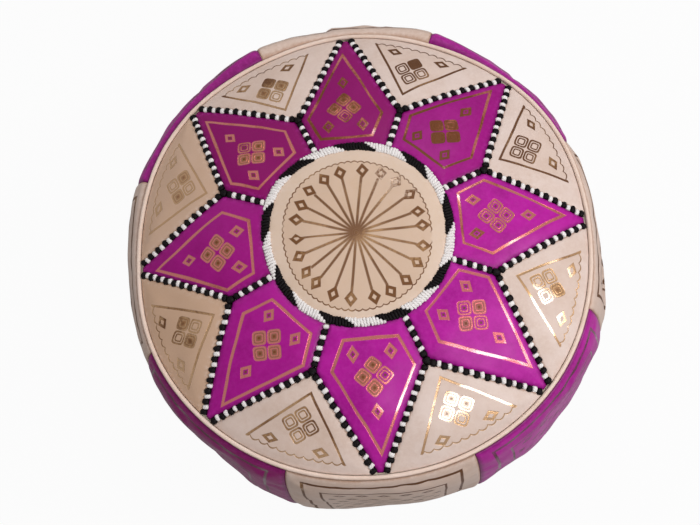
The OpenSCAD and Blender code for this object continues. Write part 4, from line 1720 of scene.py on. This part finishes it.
@dataclass(frozen=True)
class Fold:
    """A crease in a side panel, in metres across the panel and down from the top seam."""

    panel: int
    start: tuple[float, float]
    end: tuple[float, float]
    depth: float
    width: float
    step: float = 0.0

    def lift(self, across: Array, down: Array) -> Array:
        """What the crease adds to the lift of the panel."""
        start, end = np.array(self.start), np.array(self.end)
        run = end - start
        length = float(np.linalg.norm(run))
        run = run / length
        gap = np.stack([across, down], -1) - start
        along = gap @ run
        aside = gap[..., 0] * run[1] - gap[..., 1] * run[0]
        fade = smooth(along / (0.25 * length)) * smooth((length - along) / (0.25 * length))
        valley = -self.depth * np.exp(-(aside / self.width) ** 2)
        shoulder = self.step * np.exp(-np.abs(aside) / (4 * self.width)) * np.tanh(aside / self.width)
        return (valley + shoulder) * fade


@dataclass
class Swelling:
    """Cloth simulation that swells the side panels between their held seams."""

    cushion: Cushion
    rows: int = 40
    columns: int = 30
    pressure: float = 4.0
    frames: int = 20
    cap: float = 0.009
    shrink: float = -0.009
    stiffness: float = 4.0

    def grids(self) -> tuple[Array, Array]:
        """The panels' coarse grids and their outward normals."""
        across, down = np.meshgrid(np.linspace(0, 1, self.columns + 1),
                                   np.linspace(0, 1, self.rows + 1))
        turn = mix(*self.cushion.side_ends, down)
        out = self.cushion.side_normal(turn)
        points, normals = [], []
        for number in range(KITES):
            angle = SECTOR / 2 * (1 - 2 * across) + math.pi / 2 - SECTOR * number
            points.append(self.cushion.on_side(angle, turn, SEWING.bulge(angle, turn)))
            normals.append(polar(out[..., 0], angle, out[..., 1]))
        return np.array(points), np.array(normals)

    def cloth(self, points: Array) -> Piece:
        """Makes the panels one cloth whose seams are held."""
        index = np.arange(points[..., 0].size).reshape(points.shape[:3])
        faces = np.stack([index[:, :-1, :-1], index[:, 1:, :-1], index[:, 1:, 1:], index[:, :-1, 1:]], -1)
        piece = add_mesh("swelling", points.reshape(-1, 3), faces.reshape(-1, 4)[:, ::-1])
        edge = np.ones(points.shape[:3], bool)
        edge[:, 1:-1, 1:-1] = False
        held = piece.vertex_groups.new(name="held")
        held.add(index[edge].tolist(), 1.0, "REPLACE")
        modifier = piece.modifiers.new("cloth", "CLOTH")
        settings = modifier.settings
        settings.quality = 6
        settings.use_pressure = True
        settings.uniform_pressure_force = self.pressure
        settings.vertex_group_mass = "held"
        settings.shrink_min = self.shrink
        settings.bending_stiffness = self.stiffness
        settings.effector_weights.gravity = 0.0
        modifier.collision_settings.use_collision = False
        modifier.point_cache.frame_start, modifier.point_cache.frame_end = 1, self.frames
        return piece

    def run(self) -> Array:
        """Swells all the panels at once.

        Returns:
            How far each grid point of each panel has moved outwards, in metres.
        """
        points, normals = self.grids()
        piece = self.cloth(points)
        scene = bpy.context.scene
        for frame in range(1, self.frames + 1):
            scene.frame_set(frame)
        moved = np.empty(points.size, np.float32)
        evaluated(piece).data.vertices.foreach_get("co", moved)
        lift = ((moved.reshape(points.shape) - points) * normals).sum(-1)
        discard(piece)
        scene.frame_set(1)
        log.info("cloth swells the sides by up to %.1f mm", 1000 * lift.max())
        return np.clip(lift, 0.0, self.cap)


@dataclass
class Sides:
    """Eight swelling side panels, undyed and magenta in turn."""

    cushion: Cushion
    finishes: Finishes
    swelling: Array | None = None
    puff: float = 0.005
    leather_t: float = 0.0014
    seam_gap: float = 0.0005
    edge_drop: float = 0.0012
    edge_reach: float = 0.0014
    gather_pitch: float = 0.031
    gather_reach: float = 0.016
    gather_rise: float = 0.0006
    soft: float = 0.001
    waves: Waves = Waves(47, 0.04, 0.13, 0.0014)
    wrinkles: Waves = Waves(53, 0.014, 0.03, 0.00022)
    folds: tuple[Fold, ...] = (
        Fold(3, (-0.012, 0.049), (-0.084, 0.052), 0.0022, 0.0024, 0.0022),
        Fold(3, (-0.072, 0.050), (-0.096, 0.078), 0.0026, 0.0022, 0.0012),
        Fold(1, (0.016, -0.010), (0.023, 0.050), 0.0006, 0.0034, -0.0034),
        Fold(7, (-0.090, 0.040), (-0.006, 0.066), 0.0026, 0.0028, 0.0014),
        Fold(2, (-0.002, -0.012), (0.004, 0.046), 0.0014, 0.0045, 0.0008),
        Fold(8, (-0.020, -0.010), (-0.026, 0.050), 0.0012, 0.0045, -0.0008))
    # Panel 6's high share is painted shade, as that panel faces away from the key light; the others are
    # the leather's own tone.
    dye: tuple[float, ...] = (0.25, 0.1, 0.25, 0.1, 0.3, 0.95, 0.2, 0.3)
    dark: tuple[float, float] = (0.9, 0.7)

    def panel(self, number: int) -> None:
        """Builds one side panel."""
        form = self.cushion
        across, down = np.meshgrid(spaced(72, 0.6), spaced(96, 0.6))
        turn = mix(*form.side_ends, down)
        place = form.side_rz(turn)
        radius = place[..., 0]
        span = SECTOR / 2 - self.seam_gap / 2 / radius
        angle = span * (1 - 2 * across)
        steps = np.linalg.norm(np.diff(place[:, 0], axis=0), axis=-1)
        depth = np.concatenate([[0.0], np.cumsum(steps)])[:, None] * np.ones_like(across)
        aside = angle * radius
        side_seam = span * radius - np.abs(aside)
        seam = np.minimum.reduce([side_seam, depth, depth[-1:] - depth])
        centre = math.pi / 2 - SECTOR * (number - 1)
        world = turned(form.on_side(angle, turn, 0.0), centre)
        ease = smooth(seam / 0.025)
        lift = self.swell(number, across, down)
        lift = lift + self.waves.at(world) * ease + self.wrinkles.at(world) * smooth(seam / 0.012)
        gather = np.cos(math.tau * depth / self.gather_pitch + 2.1 * number)
        gather = gather * np.exp(-side_seam / self.gather_reach)
        lift = lift + self.gather_rise * gather * smooth(seam / 0.004)
        lift = (lift + np.hypot(lift, self.soft) - self.soft) / 2
        for fold in self.folds:
            if fold.panel == number:
                lift = lift + fold.lift(aside, depth) * ease
        lift = lift - self.edge_drop * np.exp(-seam / self.edge_reach)
        lift = lift + SEWING.bulge(angle + centre, turn)
        outer = turned(form.on_side(angle, turn, lift), centre)
        inner = turned(form.on_side(angle, turn, lift - self.leather_t), centre)
        stamp = np.stack([aside, depth, np.full_like(aside, number + 60.0)], -1)
        odd = number % 2 == 1
        dye = (self.dye[number - 1], self.dark[not odd])
        piece = Grid(outer, inner, stamp, seam, dye).build(f"side_{number}")
        finish, slot = ((NATURAL_SIDE, "natural_leather") if odd
                        else (MAGENTA_SIDE, "magenta_leather"))
        self.finishes.settle(piece, finish, slot, f"side_panel_{number}")

    def swell(self, number: int, across: Array, down: Array) -> Array:
        """How far the stuffing pushes one panel out at shares across and down it."""
        if self.swelling is None:
            return self.puff * (np.sin(np.pi * across) * np.sin(np.pi * down)).clip(0) ** 0.7
        coarse = self.swelling[number - 1]
        lift = spline(coarse, down[:, 0] * (coarse.shape[0] - 1))
        return spline(lift.T, across[0] * (coarse.shape[1] - 1)).T

    def build(self) -> None:
        self.swelling = Swelling(self.cushion).run()
        for number in range(1, KITES + 1):
            self.panel(number)


@dataclass
class Pipings:
    """The leather welts in the top seam and the base seam."""

    cushion: Cushion
    finishes: Finishes
    radius: float = 0.0024
    cord_r: float = 0.0013
    rise: float = 0.0012
    shade_free_scale: float = 2.2

    def welt(self, name: str, radius: float, height: float, seed: int, node: str) -> None:
        """Builds one welt round its cord."""
        rng = np.random.default_rng(seed)
        turns, angles = steps_round(14), steps_round(384)
        wave = sum(np.sin(angles * rate + rng.uniform(0, math.tau)) * size
                   for rate, size in ((7, 0.00022), (19, 0.00016), (43, 0.0001), (97, 0.00006)))
        full = self.radius * (0.955 + 0.02 * np.sin(angles * 61 + 1.0))
        section = heading(turns) * full[:, None, None]
        section[..., 1] += wave[:, None]
        piece = ring_mesh(name, radius, height, section)
        store(piece, "stamp", np.zeros((len(piece.data.vertices), 3)))
        # The seam number is large on the welt's top, turned a little inward, and nothing down its sides
        # and under it, so the edge colour paints shade where the welt tucks into the seams.
        edge = np.abs(np.tile(turns, len(angles)) - 2.0)
        store(piece, "seam", np.clip(1.6 - edge, 0, 2) * self.radius * self.shade_free_scale)
        self.finishes.settle(piece, PIPING_LEATHER, "natural_leather", node)

    def cord(self, name: str, radius: float, height: float, node: str) -> None:
        """Builds the twisted cord inside a welt."""
        turns, angles = steps_round(12), steps_round(512)
        strand = 1 + 0.08 * np.cos(3 * turns[None] + 160 * angles[:, None])
        section = heading(turns) * (self.cord_r * strand)[..., None]
        piece = ring_mesh(name, radius, height, section)
        self.finishes.settle(piece, CORD, "cotton_cloth", node)

    def build(self) -> None:
        """Builds both welts and their cords."""
        form = self.cushion
        seams = (("rim", form.rim_r, form.rim_z + self.rise),
                 ("base", form.base_r, form.base_z - self.rise))
        for name, radius, height in seams:
            self.cord(f"{name}_cord", radius, height, f"{name}_piping_cord")
        for seed, (name, radius, height) in enumerate(seams, 3):
            self.welt(f"{name}_welt", radius, height, seed, f"{name}_piping_cover")


@dataclass
class Base:
    """The two halves of the base leather, sewn along the zip."""

    cushion: Cushion
    finishes: Finishes
    leather_t: float = 0.0014
    slot_half: float = 0.008
    slot_reach: float = 0.152
    seam_half: float = 0.00025
    cut: float = 0.0004
    ease: float = 0.02
    waves: Waves = Waves(71, 0.03, 0.08, 0.0006)

    def half(self, name: str, side: int) -> None:
        """Builds one half, on the side of Y that side names."""
        form, edge_r = self.cushion, self.cushion.base_edge_r
        steps = np.array([self.slot_reach - self.cut, self.slot_reach + self.cut]) / edge_r
        marks = (2 * spaced(96, 0.7) - 1) * 0.998
        marks = np.unique(np.concatenate([marks, steps, -steps]))
        across, out = np.meshgrid(marks * edge_r, spaced(40, 0.6))
        near = np.where(np.abs(across) < self.slot_reach, self.slot_half, self.seam_half)
        far = np.sqrt(np.maximum(edge_r ** 2 - across ** 2, (near + 0.0006) ** 2))
        aside = mix(near, far, out)
        radius = np.minimum(np.hypot(across, aside), edge_r)
        seam = np.clip(np.minimum(edge_r - radius, aside - near), 0, None)
        plan = np.stack([across, aside * side], -1)
        height = form.base_height(radius, form.hollow_h)
        flat = smooth((form.hollow_r - 0.004 - radius) / self.ease) * smooth((aside - near) / self.ease)
        height = height + np.abs(self.waves.at(with_third(plan, height))) * flat
        outer = with_third(plan, height)
        inner = outer + np.array([0, 0, self.leather_t])
        stamp = np.stack([across, aside, np.full_like(aside, 80.0 + side)], -1)
        piece = Grid(outer, inner, stamp, seam).build(name)
        self.finishes.settle(piece, BASE_LEATHER, "natural_leather",
                             f"base_panel_{'back' if side > 0 else 'front'}")

    def build(self) -> None:
        """Builds both halves."""
        self.half("base_back", 1)
        self.half("base_front", -1)


@dataclass
class Zip:
    """The zip's own nodes, which keep their shape and take their finish."""

    nodes: dict[str, Piece]
    finishes: Finishes

    def build(self) -> None:
        """Finishes the zip's nodes."""
        tapes = ("tape_front", "tape_back")
        metal = ("teeth_front", "teeth_back", "top_stops", "bottom_stop", "slider_body", "pull_tab")
        for part in tapes + metal:
            name = f"zip_{part}"
            dress(self.nodes[name], self.finishes.get(TAPE if part in tapes else ZIP_BRASS))
            log.info("node %s keeps its shape", name)


@dataclass
class Stuffing:
    """The cotton bag and its filling."""

    cushion: Cushion
    finishes: Finishes
    bag_inset: float = 0.0023
    bag_t: float = 0.0008
    fill_inset: float = 0.0036
    hollow: float = 0.0138

    def outline(self, inset: float) -> Array:
        """The section from crown to base, drawn in by an inset.

        Args:
            inset: how far it lies inside the leather's own form.

        Returns:
            Radius and height of its points, the parts of their outward normals, and their turns.
        """
        form = self.cushion
        top = np.linspace(0, form.rim_r - 0.0005, 22)
        turns = np.radians(np.linspace(3, 177, 44))
        out = np.linspace(form.base_edge_r, 0, 40)
        points = np.concatenate([np.stack([top, form.top_z(top)], -1), form.side_rz(turns),
                                 np.stack([out, form.base_height(out, self.hollow)], -1)])
        run = np.gradient(points, axis=0)
        normal = unit(np.stack([run[:, 1], -run[:, 0]], -1))
        moved = points + normal * inset
        moved[[0, -1], 0] = 0.0
        turn = np.concatenate([top * 0, turns, out * 0 + np.pi])
        return np.concatenate([moved, -normal, turn[:, None]], -1)

    def turned_bag(self, name: str, inset: float, lumps: Waves | None = None) -> Piece:
        """Turns the section into a closed bag whose poles are single corners.

        Args:
            name: name of the object.
            inset: how far it lies inside the leather's own form.
            lumps: the stuffing's own unevenness, where it has one.

        Returns:
            The bag's outer face.
        """
        line = self.outline(inset)
        ring = line[1:-1]
        angles = steps_round(144)
        bulge = SEWING.bulge(angles[None], ring[:, 4:])
        points = polar(ring[:, :1] + ring[:, 2:3] * bulge, angles, ring[:, 1:2] + ring[:, 3:4] * bulge)
        if lumps is not None:
            middle = np.array([0, 0, 0.15])
            points = points - unit(points - middle) * np.abs(lumps.at(points))[..., None]
        body = SEWING.shift(points.reshape(-1, 3))
        total = len(body)
        index = np.arange(total).reshape(points.shape[:2])
        near = np.roll(index, -1, 1)
        faces = np.stack([index[:-1], index[1:], near[1:], near[:-1]], -1).reshape(-1, 4).tolist()
        faces += [[total, *pair] for pair in np.stack([index[0], near[0]], -1).tolist()]
        faces += [[total + 1, *pair] for pair in np.stack([near[-1], index[-1]], -1).tolist()]
        poles = [[0, 0, line[0, 1]], [0, 0, line[-1, 1]]]
        return add_mesh(name, body.tolist() + poles, faces)

    def build(self) -> None:
        """Builds the bag and the filling."""
        bag = self.turned_bag("cotton_bag", self.bag_inset)
        solid = bag.modifiers.new("thickness", "SOLIDIFY")
        solid.thickness = self.bag_t
        solid.offset = -1.0
        mesh = bpy.data.meshes.new_from_object(evaluated(bag))
        bag.modifiers.clear()
        bag.data = mesh
        waste = self.turned_bag("cotton_filling", self.fill_inset, Waves(91, 0.02, 0.06, 0.0012))
        self.finishes.settle(bag, COTTON, "cotton_cloth", "inner_bag_top", "inner_bag_side",
                             "inner_bag_base")
        self.finishes.settle(waste, LINT, "filling", "filling")


# The studio


@dataclass(frozen=True)
class Studio:
    """Floor, lights and camera."""

    azimuth: float = 8.3
    elevation: float = 72.1
    roll: float = -13.5
    distance: float = 1.035
    target_z: float = 0.281
    lens: float = 51.8
    shift: tuple[float, float] = (-0.0155, -0.0277)
    floor_half: float = 6.0

    def camera(self) -> None:
        """Places the camera at the photograph's angle."""
        azimuth, elevation, roll = map(math.radians, (self.azimuth, self.elevation, self.roll))
        lens = bpy.data.cameras.new("camera")
        lens.lens = self.lens
        lens.sensor_width = 36.0
        lens.shift_x, lens.shift_y = self.shift
        lens.clip_start = 0.01
        camera = add_object("camera", lens)
        camera.matrix_world = (
            Matrix.Translation((0, 0, self.target_z)) @ Matrix.Rotation(azimuth, 4, "Z")
            @ Matrix.Rotation(math.pi / 2 - elevation, 4, "X") @ Matrix.Rotation(roll, 4, "Z")
            @ Matrix.Translation((0, 0, self.distance)))
        bpy.context.scene.camera = camera

    def lamp(self, name: str, place: tuple[float, float, float], size: tuple[float, float],
             watts: float, spin: float = 0.0, mirrored: bool = True) -> None:
        """Adds a lamp of a width and a height, spun about its aim, that shines at the pouf."""
        light = bpy.data.lights.new(name, "AREA")
        light.shape = "RECTANGLE"
        light.size, light.size_y = size
        light.energy = watts
        lamp = add_object(name, light)
        lamp.location = place
        aim = Vector((0, 0, 0.15)) - Vector(place)
        turn = aim.to_track_quat("-Z", "Y") @ Quaternion((0, 0, 1), math.radians(spin))
        lamp.rotation_euler = turn.to_euler()
        lamp.visible_glossy = mirrored

    def floor(self) -> None:
        """Lays the pale floor, which from below is clear, so that it doesn't hide the base."""
        corners = ((-1, -1), (1, -1), (1, 1), (-1, 1))
        floor = add_mesh("floor", [[x * self.floor_half, y * self.floor_half, 0.0]
                                   for x, y in corners], [[0, 1, 2, 3]])
        material, g, shader = new_material("floor_paint")
        shade = g.noise(place_of(g), 3.0, 2.0) * 0.01 + 0.6
        tint = g.node("ShaderNodeCombineColor", {0: shade, 1: shade, 2: shade})
        g.feeds(shader, {"Base Color": tint.outputs[0], "Roughness": 0.9})
        glow = g.node("ShaderNodeEmission", {"Color": (1.0, 1.0, 1.0), "Strength": 1.0})
        rays = g.node("ShaderNodeLightPath")
        seen = g.num(rays.outputs["Is Camera Ray"]) * 0.95
        both = g.node("ShaderNodeMixShader", {0: seen, 1: shader.outputs[0], 2: glow.outputs[0]})
        below = g.num(g.node("ShaderNodeNewGeometry").outputs["Backfacing"])
        close = g.num(rays.outputs["Ray Length"]).fade(0.06, 0.09)
        gone = below.over(close * g.num(rays.outputs["Is Camera Ray"]).less())
        clear = g.node("ShaderNodeBsdfTransparent")
        paint = g.node("ShaderNodeMixShader", {0: gone, 1: both.outputs[0], 2: clear.outputs[0]})
        output = next(n for n in material.node_tree.nodes if n.type == "OUTPUT_MATERIAL")
        g.feed(output.inputs[0], paint.outputs[0])
        dress(floor, material)

    def world(self) -> None:
        """Sets the soft light from all round."""
        world = bpy.data.worlds.new("studio")
        world.use_nodes = True
        world.node_tree.nodes.clear()
        g = Graph(world.node_tree)
        rays = g.node("ShaderNodeLightPath")
        plain = g.num(rays.outputs["Is Camera Ray"]).over(g.num(rays.outputs["Is Transmission Ray"]))
        strength = plain * 0.7 + g.num(rays.outputs["Is Glossy Ray"]) * 0.2 + 0.28
        sky = g.node("ShaderNodeBackground", {"Color": (1.0, 1.0, 1.0), "Strength": strength})
        g.node("ShaderNodeOutputWorld", {0: sky.outputs[0]})
        bpy.context.scene.world = world

    def build(self) -> None:
        """Sets up the studio."""
        self.camera()
        self.floor()
        self.world()
        self.lamp("key", (0.72, -0.5, 1.4), (1.25, 0.3), 10.2, -29.0)
        self.lamp("side_light", (1.1, -0.12, 1.35), (0.36, 0.36), 2.2)
        self.lamp("window", (0.25, 0.68, 1.4), (0.3, 0.3), 1.6)
        self.lamp("back_light", (-0.1, 1.3, 1.6), (3.0, 1.6), 12.0, mirrored=False)
        bpy.context.scene.view_settings.view_transform = "Standard"


def main() -> None:
    """Builds the pouf and its studio in order."""
    logging.basicConfig(level=logging.INFO, format="%(name)s: %(message)s")
    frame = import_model()
    cushion = Cushion()
    plan = StarPlan(cushion)
    finishes = Finishes()
    Studio().build()
    StarTop(cushion, plan, finishes).build()
    Lacing(cushion, plan, finishes).build()
    Sides(cushion, finishes).build()
    Pipings(cushion, finishes).build()
    Base(cushion, finishes).build()
    Zip(frame["nodes"], finishes).build()
    Stuffing(cushion, finishes).build()


if __name__ == "__main__":
    main()
